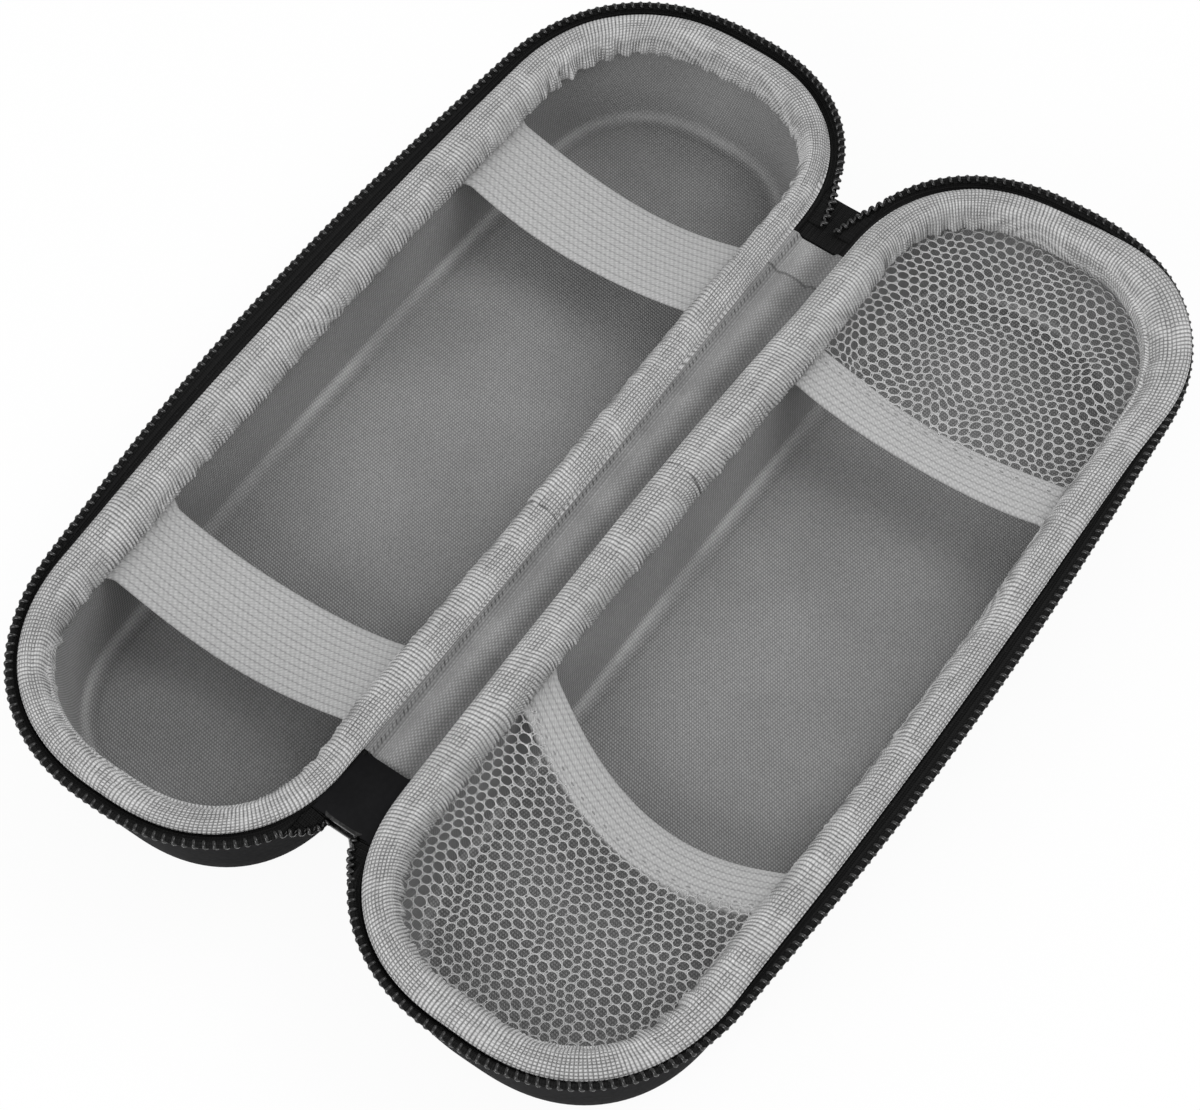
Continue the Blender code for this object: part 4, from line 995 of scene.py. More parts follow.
class CASE_OT_bindings(CasePiece):
    """Roll the puffy ribbed binding round both rims, with its pressed seam, puckers and overlap"""

    bl_idname = "case.make_bindings"
    bl_label = "Make bindings"

    def build(self, scene):
        shape, c = scene.case_shape, scene.case_cloth
        lip = wall_inset(0.0, -c.binding_drop) + wall_inset(WALL, 0.0) + shape.gap * 0.5
        for body in SIDES:
            self.roll(body, c, lip, **BINDINGS[body])

    def section(self, c, lip):
        """Even points of the roll's section, as inset and height, and the way outwards at each."""
        width, drop = c.binding_width, c.binding_drop
        shown = [(x * width, z * c.binding_rise) for x, z in ROLL_SHARES]
        shown += [(width, -0.8 * drop), (0.96 * width, -drop + 0.2 * MM)]
        hidden = [(lip + 0.4 * MM, -drop), (lip, -drop + 0.4 * MM), (lip, 0.1 * MM), (0.1 * width, 0.1 * MM)]
        section = rounded(shown + hidden, 30)
        outwards = aside(section)
        if outwards[int(section[:, 1].argmax()), 1] < 0:
            outwards = -outwards
        return section, outwards

    def roll(self, body, c, lip, joint_y, seed, loose):
        """One binding round its rim."""
        width = c.binding_width
        section, outwards = self.section(c, lip)
        whole = walk_round(rim_line(2000, joint_y)[0])[-1]
        ribs = round(whole / c.rib)
        count = ribs * RIB_STEPS
        points, ways = rim_line(count, joint_y)
        at = np.arange(count) * whole / count
        # 1 where the rim turns as sharply as a corner of 30 mm
        turned = np.roll(ways, -12, axis=0) - np.roll(ways, 12, axis=0)
        bend = np.clip(np.linalg.norm(turned, axis=1) / (24 * whole / count) * 30 * MM, 0, 1.2)
        puckers = waves(at, whole, 4.6 * MM, 7.5 * MM, seed)
        small = waves(at, whole, 1.6 * MM, 2.6 * MM, seed + 1)
        slow = waves(at, whole, 18 * MM, 60 * MM, seed + 2)
        rib = np.cos(2 * math.pi * at * ribs / whole)
        overlap = smooth_step(at, whole - 9 * MM, whole - 7.5 * MM)
        outer_edge = around_rim(points, SEAM_PLACES[body])
        inner_edge = np.maximum(around_rim(points, EDGE_PLACES[body]), lip + 0.35 * MM)
        over_tape = np.maximum(-outer_edge - 1.2 * MM, 0) * 0.7
        rings = np.empty((count, len(section), 3))
        for j, (inset, height) in enumerate(section):
            top = float(smooth_step(outwards[j] @ (0.3, 0.95) + (inset > 0.85 * width), -0.1, 0.3))
            part = min(max(inset / width, 0.0), 1.0)
            inner = smooth_step(part, 0.5, 0.85)
            brim = smooth_step(part, 0.85, 1.0)
            groove = math.exp(-((part - PRESSED_SHARE) ** 2) / PRESSED_SPREAD)
            push = top * (
                0.08 * MM * rib * (0.5 + 0.7 * inner)
                + inner * puckers * (0.05 + 0.10 * bend) * MM
                + inner * small * (0.03 + 0.05 * bend) * MM
                + slow * 0.14 * MM
                - groove * (0.09 + 0.08 * small) * MM
                + overlap * 0.2 * MM
            )
            a = inset + outwards[j, 0] * push
            z = height + outwards[j, 1] * push + over_tape * (1 - part) ** 2
            # What shows follows the two edges, and what is tucked away stays on the wall.
            if top > 0.05 or height > 0.2 * MM or inset > lip + 0.8 * MM:
                a = a + (outer_edge * (1 - part) + (inner_edge - width) * part)
                a = a + brim * (puckers * (0.07 + loose * bend) + 0.06 * small + 0.08 * rib) * MM
            if inset > 0.9 * width:
                a = np.maximum(a, lip + (0.45 + 0.3 * (inset > 0.98 * width)) * MM)
            rings[:, j] = along_rim(points, ways, SIDES[body], a, z)
        cloth = np.empty((count + 1, len(section) + 1, 2))
        cloth[:, :, 0] = (np.arange(count + 1) * ribs * c.rib / count)[:, None]
        cloth[:, :, 1] = walk_round(section)[None, :]
        mesh = lofted(body + "_rolled_binding", rings, cloth)
        made = piece(mesh.name, mesh, ribbed_binding, body, [body + "_binding"])


# The zip's tapes and coils


ROW_PLACES = {
    "base": (2.2, 2.2, 2.2, 2.2, 2.2, 2.4, 2.6, 1.9, 1.3, 2.4, 3.9, 4.6)
    + (4.6, 4.3, 3.4, 2.4, 1.5, 1.5, 1.8, 1.5, 1.5, 2.0, 2.2, 2.2),
    "lid": (2.2, 2.2, 2.2, 2.2, 2.2, 1.4, 1.8, 2.0, 1.7, 2.4, 3.4, 3.9)
    + (4.0, 3.9, 3.4, 2.8, 2.7, 3.2, 2.8, 1.6, 1.5, 2.0, 2.2, 2.2),
}
ROW_STARTS = (93 * MM, 98 * MM)  # along Y, where the row leaves the hinge side at the far and the near end
ROW_LOW, ROW_RISE, ROW_CLIMB = 0.4 * MM, 0.8 * MM, 14 * MM  # its height there, what it gains and over how far
TAPE_LEAD = 2.5 * MM  # how far before the row's start the tape stands out already


def row_start(points):
    """How far from the middle along Y the row leaves the hinge side, at each point's own end."""
    return np.where(points[:, 1] > 0, *ROW_STARTS)


def row_values(points, body):
    """How far out from the rim the zip's row runs at each point, how high, and where the tape carries it."""
    outside, start = points[:, 0] > rim_middle(), row_start(points)
    part = np.where(outside, 1.0, np.clip((abs(points[:, 1]) - start) / ROW_CLIMB, 0, 1))
    carried = outside | (abs(points[:, 1]) > start - TAPE_LEAD)
    return around_rim(points, ROW_PLACES[body]), ROW_LOW + ROW_RISE * part, carried


TAPE_STEPS = 1200  # points round a tape
TAPE_STEP = 0.485 * MM  # cloth from one of them to the next
# Millimetres of cloth from the tape's inner edge to each point of its section, out over the cord and back
TAPE_PLACES = (0, 3.8, 5.2, 6.9, 7.3, 7.7, 8.1, 8.5, 8.9, 10.6, 12.0, 15.8, 16.3)
CORD_TURNS = (115, 70, 30, -10, -50, -100)  # in degrees, the points round the cord at the tape's edge


class CASE_OT_tapes(CasePiece):
    """Weave the black zip tapes that stand out from under the bindings"""

    bl_idname = "case.make_tapes"
    bl_label = "Make zip tapes"

    def build(self, scene):
        points, ways = rim_line(TAPE_STEPS)
        top, under = -0.2 * MM, -0.2 * MM - scene.case_zip.tape
        for body, side in SIDES.items():
            out, rise, carried = row_values(points, body)
            blend = softened(carried.astype(float), np.ones(13))
            out, lift = out * blend, (rise - 0.1 * MM) * blend - 0.45 * MM * (1 - blend)
            cord = 0.05 * MM + 0.62 * MM * blend
            sections = [(4 * MM, top), (0.2 * MM, top), (-0.4 * out, 0.3 * lift + 0.1 * MM * blend)]
            for turn in CORD_TURNS:
                angle = math.radians(turn)
                sections.append((-out - cord * math.cos(angle), lift + cord * math.sin(angle)))
            sections += [(-0.4 * out, 0.3 * lift - 0.3 * MM), (0.2 * MM, under), (4 * MM, under)]
            rings = np.stack([along_rim(points, ways, side, a, h) for a, h in sections], 1)
            cloth = np.zeros((len(points) + 1, len(sections) + 1, 2))
            cloth[:, :, 0] = (np.arange(len(points) + 1) * TAPE_STEP)[:, None]
            cloth[:, :, 1] = np.array(TAPE_PLACES)[None] * MM
            mesh = lofted(body + "_woven_tape", rings, cloth)
            piece(mesh.name, mesh, woven_tape, body, [body + "_zipper_tape"])


def row_line(body):
    """The line of a body's coil row as if on the lid, from the far end of the hinge round to the near end."""
    points, ways = rim_line(4000)
    out, rise, _ = row_values(points, body)
    kept = (points[:, 0] > rim_middle()) | (abs(points[:, 1]) > row_start(points))
    line = along_rim(points, ways, 1, -out, rise)
    first = int(np.flatnonzero(kept & ~np.roll(kept, 1))[0])
    line = np.roll(line, -first, axis=0)[: int(kept.sum())]
    return line if line[0, 1] > 0 else line[::-1]


def tail_line(row_end, before, places):
    """A smooth line from a row's end through places on the hinge, in metres."""
    knots = [np.array(before), np.array(row_end), *(np.array(p) for p in places)]
    knots.append(2 * knots[-1] - knots[-2])
    made = [smooth_bend(*four, 16) for four in zip(knots, knots[1:], knots[2:], knots[3:])]
    return np.concatenate([*made, knots[-2][None]])


# Each tail's knots over the hinge, in millimetres: X and Y as if on the lid, and height over the rim plane
TAIL_KNOTS = {
    "far": ((3.3, 85.8, 0.1), (1.5, 79.6, 0.1)),
    "near": ((4.8, -94.2, -2.15), (3.3, -91.1, -2.15), (1.5, -86, -2.15), (1.5, -80.9, -2.15)),
}
TAIL_LEAD = 40  # points back along the row, from which a tail takes its way


def tail_lines(body):
    """The lines of a body's two coil tails as if on the lid, from its row's ends in over the hinge."""
    row = row_line(body)
    places = {
        end: [(x * MM, y * MM, RIM_Z + h * MM) for x, y, h in knots] for end, knots in TAIL_KNOTS.items()
    }
    far = tail_line(row[0], row[TAIL_LEAD], places["far"])
    return far, tail_line(row[-1], row[-TAIL_LEAD], places["near"])


class CASE_OT_coils(CasePiece):
    """Wind the nylon coils of the zip round both rims and over the ends of the hinge"""

    bl_idname = "case.make_coils"
    bl_label = "Make zip coils"

    def build(self, scene):
        z = scene.case_zip
        sizes = {"pitch": z.pitch, "width": z.width - z.wire, "height": z.height - z.wire, "wire": z.wire}
        for body, side in SIDES.items():
            far, near = tail_lines(body)
            parts = {
                "coil_row": (row_line(body), body, "zipper_coil"),
                "far_coil_tail": (far, fold_beside(body), "coil_far_end"),
                "near_coil_tail": (near, fold_beside(body), "coil_near_end"),
            }
            for part, (line, rides, replaced) in parts.items():
                name = f"{body}_{part}"
                row = line_mesh(name, line * (side, 1, 1))
                wound = patterned(name, row, coil_pattern, nylon_coil, **sizes)
                piece(name, wound, nylon_coil, rides, [f"{body}_{replaced}"])


# Straps, pocket trims and nets


BAND_TOP = -4.3 * MM  # height of a band's ends over the rim plane
BAND_THICKNESS = 1.1 * MM
STITCH = 3.5 * MM  # from one stitch of a trim to the next


def band_ends(ys):
    """The X of a band's two ends, on the hinge side and on the outer side, just inside the linings."""
    s = bpy.context.scene.case_shape
    inside = wall_inset(WALL, BAND_TOP - BAND_THICKNESS) + s.gap
    drift = s.shift * (-(BAND_TOP - BAND_THICKNESS)) / s.depth
    return rim_x_at(ys[0]) + inside + drift, rim_x_at(ys[1], True) - inside + drift


def band_place(ends, ys, sag, bow, at):
    """Points down the middle of a band, at shares of the way from the hinge side to the outer side."""
    hang = 4 * at * (1 - at)
    x = ends[0] + (ends[1] - ends[0]) * at
    y = ys[0] + (ys[1] - ys[0]) * at - bow * hang
    return np.stack([x, y, RIM_Z + BAND_TOP - sag * hang], 1)


def band_section(width, ribs):
    """Points round a band's section: place across it, upper or under face, and how thick and how ribbed."""
    across = np.linspace(-0.5, 0.5, ribs * 4 + 1)
    section = []
    for face in (1, -1):
        for x in across[::face]:
            edge = math.sqrt(max(1 - (abs(x) * 2) ** 14, 0))
            rib = 0.5 + 0.5 * math.cos(2 * math.pi * (x + 0.5) * ribs)
            section.append((x * width, face, edge, rib))
    return section


def band_rings(line, walked, at, section, width, lags, stitches):
    """Rings of points along a band: ribbed, bellied, pleated and spread where it is sewn in."""
    ahead = np.gradient(line, axis=0)
    ahead /= np.linalg.norm(ahead, axis=1, keepdims=True)
    up = np.cross(np.broadcast_to((0.0, 1.0, 0.0), ahead.shape), -ahead)
    up *= np.sign(up[:, 2:3])
    up /= np.linalg.norm(up, axis=1, keepdims=True)
    from_end = np.minimum(walked, walked[-1] - walked)
    sewn, flare = smooth_step(from_end, 9 * MM, 0.0), smooth_step(from_end, 4 * MM, 0.0)
    curl = 0.35 * MM * np.cos(at * 7 + lags[0])
    beat = np.clip(np.cos(2 * math.pi * walked / STITCH), 0, 1) ** 2
    rings = []
    for x, face, edge, rib in section:
        h = face * (BAND_THICKNESS / 2 * edge - 0.09 * MM * (1 - rib) * edge)
        pleat = 0.28 * MM * np.sin(x / (1.7 * MM) * 2 * math.pi / 1.6 + lags[1])
        pleat = sewn * pleat * (1 - (2 * abs(x) / width) ** 4)
        bellied = (0.5 * MM * (1 - (2 * x / width) ** 2) + curl * (x / width) * 2) * (1 - sewn)
        lifted = h - BAND_THICKNESS / 2 + pleat + bellied - 0.5 * MM
        if stitches and face > 0:
            depth = np.exp(-(((x - stitches) / (0.35 * MM)) ** 2))
            lifted = lifted - depth * (0.1 + 0.28 * beat) * MM
        spot = line + up * lifted[:, None]
        spot[:, 1] += x * (1 + 0.16 * flare)
        rings.append(spot)
    return np.stack(rings, 1)


def band(name, body, node, width, ribs, ys, sag, bow=0.0, stitches=None):
    """Make an elastic band across a shell, with a row of stitches along it where a place is given."""
    at = np.linspace(0, 1, 121)
    line = band_place(band_ends(ys), ys, sag, bow, at)
    walked = walk(line)
    section = band_section(width, ribs)
    lags = np.random.default_rng(len(name) * 7 + ribs).uniform(0, 2 * math.pi, 3)
    rings = band_rings(line, walked, at, section, width, lags, stitches)
    rings[:, :, 0] *= SIDES[body]
    cloth = np.zeros((len(at), len(section) + 1, 2))
    cloth[:, :, 0] = walked[:, None]
    grooves = [(x + 0.5 * width) / width * ribs * ELASTIC_RIB + ELASTIC_RIB / 2 for x, *_ in section]
    cloth[:, :-1, 1] = np.array(grooves)[None]
    cloth[:, -1, 1] = cloth[:, 0, 1]
    mesh = lofted(name, rings, cloth, through=False, capped=True)
    made = piece(name, mesh, ribbed_elastic, body, [node])
    if stitches:
        k = int(np.argmin([abs(x - stitches) + (face < 0) for x, face, *_ in section]))
        seam = line_mesh(name + "_seam", rings[3:-3, k])
        sizes = {"spacing": STITCH, "length": 1.1 * MM, "thickness": 0.4 * MM}
        sewing = patterned(name + "_stitches", seam, stitch_pattern, sewing_thread, **sizes)
        piece(sewing.name, sewing, sewing_thread, body)


# Each band's Y at the hinge side and at the outer side, and how far its middle sags
STRAPS = {
    "near": {"ys": (-59.6 * MM, -61.8 * MM), "sag": 8.9 * MM},
    "far": {"ys": (59.0 * MM, 59.0 * MM), "sag": 7.4 * MM},
}


class CASE_OT_straps(CasePiece):
    """Weave the two ribbed elastic straps across the base"""

    bl_idname = "case.make_straps"
    bl_label = "Make straps"

    def build(self, scene):
        for name, strap in STRAPS.items():
            width = scene.case_cloth.strap_width
            band(f"{name}_elastic_strap", "base", name + "_strap", width, 13, strap["ys"], strap["sag"])


# The same for the pockets' trims, with how far each bows towards the near end, and which end it is at
POCKETS = {
    "far": {"ys": (51.6 * MM, 51.6 * MM), "sag": 3.9 * MM, "bow": 1.5 * MM, "end": 1},
    "near": {"ys": (-42.6 * MM, -52.2 * MM), "sag": 9.9 * MM, "bow": 7.5 * MM, "end": -1},
}
TRIM_SEAM = 2.9 * MM  # from the middle of a trim out to its row of stitches


class CASE_OT_trims(CasePiece):
    """Weave the ribbed elastic along the openings of both pockets, with its line of stitches"""

    bl_idname = "case.make_trims"
    bl_label = "Make pocket trims"

    def build(self, scene):
        width = scene.case_cloth.trim_width
        for name, p in POCKETS.items():
            node, seam = name + "_pocket_trim", p["end"] * TRIM_SEAM
            band(f"{name}_elastic_trim", "lid", node, width, 7, p["ys"], p["sag"], p["bow"], seam)


# Each net's sharp folds, in millimetres: how far right of the middle, as the camera stands, and how deep
NET_FOLDS = {1: ((49.4, 2.1), (67.0, 1.7), (86.0, 1.0)), -1: ((-3.0, 1.6), (15.0, 1.4))}
NET_LEANS = {1: 8, -1: -5}  # how far each net's rows lean, in degrees
ROW_SHARE = 0.77  # from one row of a net's holes to the next, as a share of their pitch
SLIT_SHARE = 0.13  # half the slit between two doubled strands, as a share of the pitch
HOLE, SLIT = 0.88, 0.68  # how much of its cell a hole takes up, and a slit
NET_SPAN = 90 * MM  # the least width and height of a net's grid, before its outline is cut
NET_BORDER = 6.35 * MM  # from the rim in to the net's edge, under the binding
NET_MIDDLE = 80 * MM  # along Y, where the middle of the grid lies
NET_TUCK = 2.6 * MM  # how far a net's edge reaches in under its trim
NET_DROP = 0.95 * MM  # from the top of a trim's end down to the net
ROUND_END = 60 * MM  # along Y, from where the rim counts as its rounded end


def net_grid(pitch):
    """Flat cells of a net round the origin: its points, its cells and the size of each cell's hole."""
    across, tall = pitch, pitch * ROW_SHARE
    slit, half_edge = SLIT_SHARE * pitch, pitch / math.sqrt(3)
    index, spots, cells, holes = {}, [], [], []

    def spot(x, y):
        key = (round(x / (0.02 * MM)), round(y / (0.02 * MM)))
        if key not in index:
            index[key] = len(spots)
            spots.append((x, y))
        return index[key]

    rows, columns = int(NET_SPAN / tall), int(NET_SPAN / across)
    turns = [math.radians(60 * n) for n in range(6)]
    for r in range(-rows // 2, rows // 2 + 1):
        for k in range(-columns // 2, columns // 2 + 1):
            x, y = (k + (r % 2) / 2) * across, r * tall
            ring = [(x + half_edge * math.sin(t), y + tall / 1.5 * math.cos(t)) for t in turns]
            # Corners 1-2 and 4-5 are the two upright edges, which are doubled round a slit.
            right, left = x + across / 2, x - across / 2
            hole = [ring[0], ring[1], (right - slit, y), ring[2], ring[3], ring[4], (left + slit, y), ring[5]]
            cells.append([spot(*p) for p in hole])
            holes.append(HOLE)
            cells.append([spot(*p) for p in (ring[1], (right + slit, y), ring[2], (right - slit, y))])
            holes.append(SLIT)
    return np.array(spots), cells, holes


def net_folds(flat, pocket, seed):
    """Where a net's points move to in plan as its folds run through it, and how far they lift."""
    draw = np.random.default_rng(seed)
    lifted = np.zeros(len(flat))
    moved = flat.copy()
    for _ in range(7):
        turn = math.radians(draw.uniform(-35, 35) + 90 * (draw.uniform() < 0.3))
        way = np.array([math.cos(turn), math.sin(turn)])
        span, lag = draw.uniform(7, 19) * MM, draw.uniform(0, 2 * math.pi)
        weight = draw.uniform(0.25, 0.6)
        phase = flat @ way * 2 * math.pi / span + lag
        moved += (way + 1.4 * way[::-1] * (1, -1)) * (np.sin(phase) * span * 0.03 * weight)[:, None]
        lifted += np.cos(phase) * 0.25 * MM * weight
    # Sharp folds run in from the trim, and squeeze the cells beside them.
    way = np.array(VIEW_RIGHT)
    fade = np.exp(-abs(flat[:, 1] - pocket["ys"][0]) / (16 * MM))
    for place, depth in NET_FOLDS[pocket["end"]]:
        off = flat @ way - place * MM
        squeeze = np.tanh(off / (2.9 * MM)) * np.exp(-((off / (13 * MM)) ** 2)) * fade
        moved -= way * (squeeze * depth * MM)[:, None]
        lifted += 0.5 * depth * MM * np.exp(-((off / (2 * MM)) ** 2)) * fade
    return moved, lifted


def trim_edge(x, ends, pocket):
    """How far a pocket's trim hangs at an X, as a share, and the Y of the net's edge behind it."""
    part = np.clip((x - ends[0]) / (ends[1] - ends[0]), 0, 1)
    hang = 4 * part * (1 - part)
    edge = pocket["ys"][0] + (pocket["ys"][1] - pocket["ys"][0]) * part - pocket["bow"] * hang
    behind = bpy.context.scene.case_cloth.trim_width / 2 - NET_TUCK
    return hang, edge + pocket["end"] * behind


def inside_line(spots, line):
    """Which spots lie inside a closed line, in plan."""
    found = np.zeros(len(spots), bool)
    ahead = np.roll(line, -1, axis=0)
    for (x1, y1), (x2, y2) in zip(line, ahead):
        if y1 != y2:
            crosses = (y1 > spots[:, 1]) != (y2 > spots[:, 1])
            found ^= crosses & (spots[:, 0] < (x2 - x1) * (spots[:, 1] - y1) / (y2 - y1) + x1)
    return found


def net_cells(ends, pocket, seed):
    """The cells of a pocket's net on its curved sheet: points, cells and the size of each cell's hole."""
    end = pocket["end"]
    points, ways = rim_line(1600)
    border = points + ways * NET_BORDER
    flat, cells, holes = net_grid(bpy.context.scene.case_cloth.net_pitch)
    lean = math.radians(NET_LEANS[end])
    turn = np.array([[math.cos(lean), -math.sin(lean)], [math.sin(lean), math.cos(lean)]])
    flat = flat @ turn.T
    flat += ((ends[0] + ends[1]) / 2, end * NET_MIDDLE)
    moved, lifted = net_folds(flat, pocket, seed)
    # The outline: inside the rim's border and past the trim's edge.
    inside = inside_line(moved, border)
    hang, edge = trim_edge(moved[:, 0], ends, pocket)
    past = (moved[:, 1] - edge) * end
    ok = inside & (past > 0)
    kept = [(cell, hole) for cell, hole in zip(cells, holes) if ok[cell].sum() >= (len(cell) + 1) // 2]
    # Points that fell outside go back to the outline.
    for i in {i for cell, _ in kept for i in cell if not ok[i]}:
        if past[i] <= 0:
            moved[i, 1] = edge[i]
        if not inside[i]:
            moved[i] = border[int(((border - moved[i]) ** 2).sum(1).argmin())]
    hang, edge = trim_edge(moved[:, 0], ends, pocket)
    half = points[points[:, 1] * end > 0]
    half = half[abs(half[:, 1]) > ROUND_END]
    half = half[np.argsort(half[:, 0])]
    rim_y = np.interp(moved[:, 0], half[:, 0], half[:, 1])
    along = np.clip((moved[:, 1] - edge) / (rim_y - end * 6 * MM - edge), 0, 1)
    fall = pocket["sag"] * hang * (1 - along) ** 1.3
    free = np.clip(np.minimum(hang * 2.2, np.minimum(along, 1 - along) * 5), 0, 1)
    z = RIM_Z + BAND_TOP - NET_DROP - fall + lifted * free
    used = sorted({i for cell, _ in kept for i in cell})
    renumber = {old: new for new, old in enumerate(used)}
    spots = [(moved[i, 0], moved[i, 1], z[i]) for i in used]
    return spots, [[renumber[i] for i in cell] for cell, _ in kept], [hole for _, hole in kept]


class CASE_OT_nets(CasePiece):
    """Knit the nets of both pockets: round holes in rows, doubled strands with slits, soft folds"""

    bl_idname = "case.make_nets"
    bl_label = "Make pocket nets"

    def build(self, scene):
        thickness = scene.case_cloth.net_thickness
        for seed, (name, pocket) in enumerate(POCKETS.items()):
            spots, cells, holes = net_cells(band_ends(pocket["ys"]), pocket, seed + 21)
            sheet = bpy.data.meshes.new(name + "_net_sheet")
            sheet.from_pydata(spots, [], cells)
            sheet.update()
            if sum(p.normal.z for p in sheet.polygons) < 0:
                sheet.flip_normals()
            sheet.attributes.new("hole", "FLOAT", "FACE").data.foreach_set("value", holes)
            knitted = patterned(name + "_knitted_net", sheet, net_pattern, knitted_net, thickness=thickness)
            made = piece(knitted.name, knitted, knitted_net, "lid", [name + "_pocket_net"])


# The hinge and the slider


def web_profile(rim_x, end):
    """Across half the hinge web: (x, top, underside); full in the middle, low beside the bindings."""
    fullness = 0.95 * MM * math.sqrt(min(end / (5 * MM), 1.0))
    spots = []
    for x in np.linspace(0, rim_x + 1.9 * MM, 21):
        full = fullness * math.exp(-((x / (2.7 * MM)) ** 4))
        top = -1.25 * MM + full + 1.3 * MM * float(smooth_step(x, rim_x - 1.5 * MM, rim_x - 0.25 * MM))
        on_rim = x > rim_x - 0.2 * MM
        under = max(top - 0.5 * MM, -0.17 * MM) if on_rim else min(top - 0.4 * MM, -1.6 * MM)
        spots.append((x, top, min(under, top - 0.1 * MM)))
    return spots


def backing_profile(rim_x, end):
    """Across half the leatherette strip behind the hinge."""
    reach = rim_x - 0.1 * MM
    return [(x, -1.9 * MM, -2.7 * MM) for x in np.linspace(0, reach, 13)]


def tape_end_profile(rim_x, end):
    """Across half the ends of the zip tapes, over the far end of the hinge."""
    reach = rim_x + 0.6 * MM
    return [(x, -1.05 * MM + 0.3 * MM * (x / reach) ** 2, -1.6 * MM) for x in np.linspace(0, reach, 13)]


def patch_profile(rim_x, end):
    """Across half the patch over the near end of the zip, from one binding to the other."""
    reach = rim_x + 0.8 * MM
    worn = 0.4 * MM * math.sqrt(min(end / (2.5 * MM), 1.0))
    spots = []
    for x in np.linspace(0, reach, 17):
        bulge = 0.55 * MM * math.exp(-((x / (4.4 * MM)) ** 4)) * min(end / (1.2 * MM), 1.0)
        top = -0.35 * MM + worn + bulge + 0.25 * MM * math.cos(x / reach * 4.2) * min(end / (3 * MM), 1.0)
        spots.append((x, top, top - 0.45 * MM))
    return spots


HINGE_STRIPS = (  # name, finish, its two ends along Y in millimetres, CAD node and profile
    ("hinge_web", hinge_cloth, -75.3, 75.3, "hinge_inner_web", web_profile),
    ("hinge_backing", leatherette, -79, 88, "hinge_outer_web", backing_profile),
    ("far_tape_ends", woven_tape, 75.6, 88, "far_tape_end", tape_end_profile),
    ("near_zip_patch", leatherette, -90.5, -75.6, "near_end_patch", patch_profile),
)


class CASE_OT_hinge(CasePiece):
    """Sew the cloth hinge: inner web, leatherette backing, far ends of the tapes and the near patch"""

    bl_idname = "case.make_hinge"
    bl_label = "Make hinge"

    def build(self, scene):
        for strip in HINGE_STRIPS:
            self.strip(*strip)
        self.gussets()

    def strip(self, name, maker, near, far, node, profile):
        """Two halves of a strip between the shells, one beside each shell."""
        near, far = near * MM, far * MM
        ys = np.linspace(near, far, max(int((far - near) / (1.2 * MM)), 10))
        for body, side in SIDES.items():
            rings = []
            for y, rim_x in zip(ys, rim_x_at(ys)):
                spots = profile(rim_x, min(y - near, far - y))
                upper = [(side * x, y, RIM_Z + top) for x, top, _ in spots]
                lower = [(side * x, y, RIM_Z + under) for x, _, under in spots[::-1]]
                rings.append(upper + lower)
            rings = np.array(rings)
            cloth = np.zeros((len(ys), rings.shape[1] + 1, 2))
            cloth[:, :-1, 1] = rings[:, :, 0]
            cloth[:, -1, 1] = cloth[:, 0, 1]
            cloth[:, :, 0] = ys[:, None]
            mesh = lofted(f"{body}_side_{name}", rings, cloth, through=False, capped=True)
            piece(mesh.name, mesh, maker, fold_beside(body), [node])

    def gussets(self):
        """The tape that fills the space between each coil tail and its rim, at both ends."""
        thickness = 0.35 * MM
        shares = np.linspace(0, 1, 7)
        for body, side in SIDES.items():
            for part, line in zip(("far", "near"), tail_lines(body)):
                line = line[np.argsort(abs(line[:, 1]))]
                ys = np.linspace(line[0, 1], line[-1, 1], 24)
                rings = []
                for y, rim_x in zip(ys, rim_x_at(ys)):
                    tail_x, tail_z = (np.interp(abs(y), abs(line[:, 1]), line[:, i]) for i in (0, 2))
                    inner, start = tail_x - 0.3 * MM, tail_z - 0.25 * MM
                    outer = max(rim_x + 0.7 * MM, inner + 0.5 * MM)
                    heights = start + (RIM_Z - 0.72 * MM - start) * shares
                    upper = [(side * (inner + (outer - inner) * t), y, h) for t, h in zip(shares, heights)]
                    rings.append(upper + [(x, y, h - thickness) for x, y, h in upper[::-1]])
                rings = np.array(rings)
                cloth = np.concatenate([rings[:, :, :2], rings[:, :1, :2]], 1)
                mesh = lofted(f"{body}_side_{part}_gusset", rings, cloth, through=False, capped=True)
                piece(mesh.name, mesh, woven_tape, fold_beside(body))


SLIDER_PARTS = (  # CAD node, name, body and width of its rounded edges
    ("zipper_slider", "slider_casting", "slider", 0.22 * MM),
    ("pull_tab", "pull_stamping", "pull", 0.24 * MM),
)


class CASE_OT_slider(CasePiece):
    """Finish the slider and its pull: the solids' own shapes with rounded edges"""

    bl_idname = "case.make_slider"
    bl_label = "Make slider"

    def build(self, scene):
        for node, name, body, width in SLIDER_PARTS:
            mesh = frame["nodes"][node].data.copy()
            bm = bmesh.new()
            bm.from_mesh(mesh)
            bmesh.ops.remove_doubles(bm, verts=bm.verts, dist=WELD)
            bmesh.ops.dissolve_limit(bm, angle_limit=math.radians(2), verts=bm.verts, edges=bm.edges)
            joined = [e for e in bm.edges if len(e.link_faces) == 2]
            sharp = [e for e in joined if e.calc_face_angle(0) > math.radians(25)]
            bmesh.ops.bevel(
                bm, geom=sharp, offset=width, segments=3, affect="EDGES", profile=0.5, clamp_overlap=True
            )
            bm.to_mesh(mesh)
            bm.free()
            mesh.name = name
            outward(mesh, 35)
            piece(name, mesh, plated_metal, body, [node])


# The stage, the panel and the run


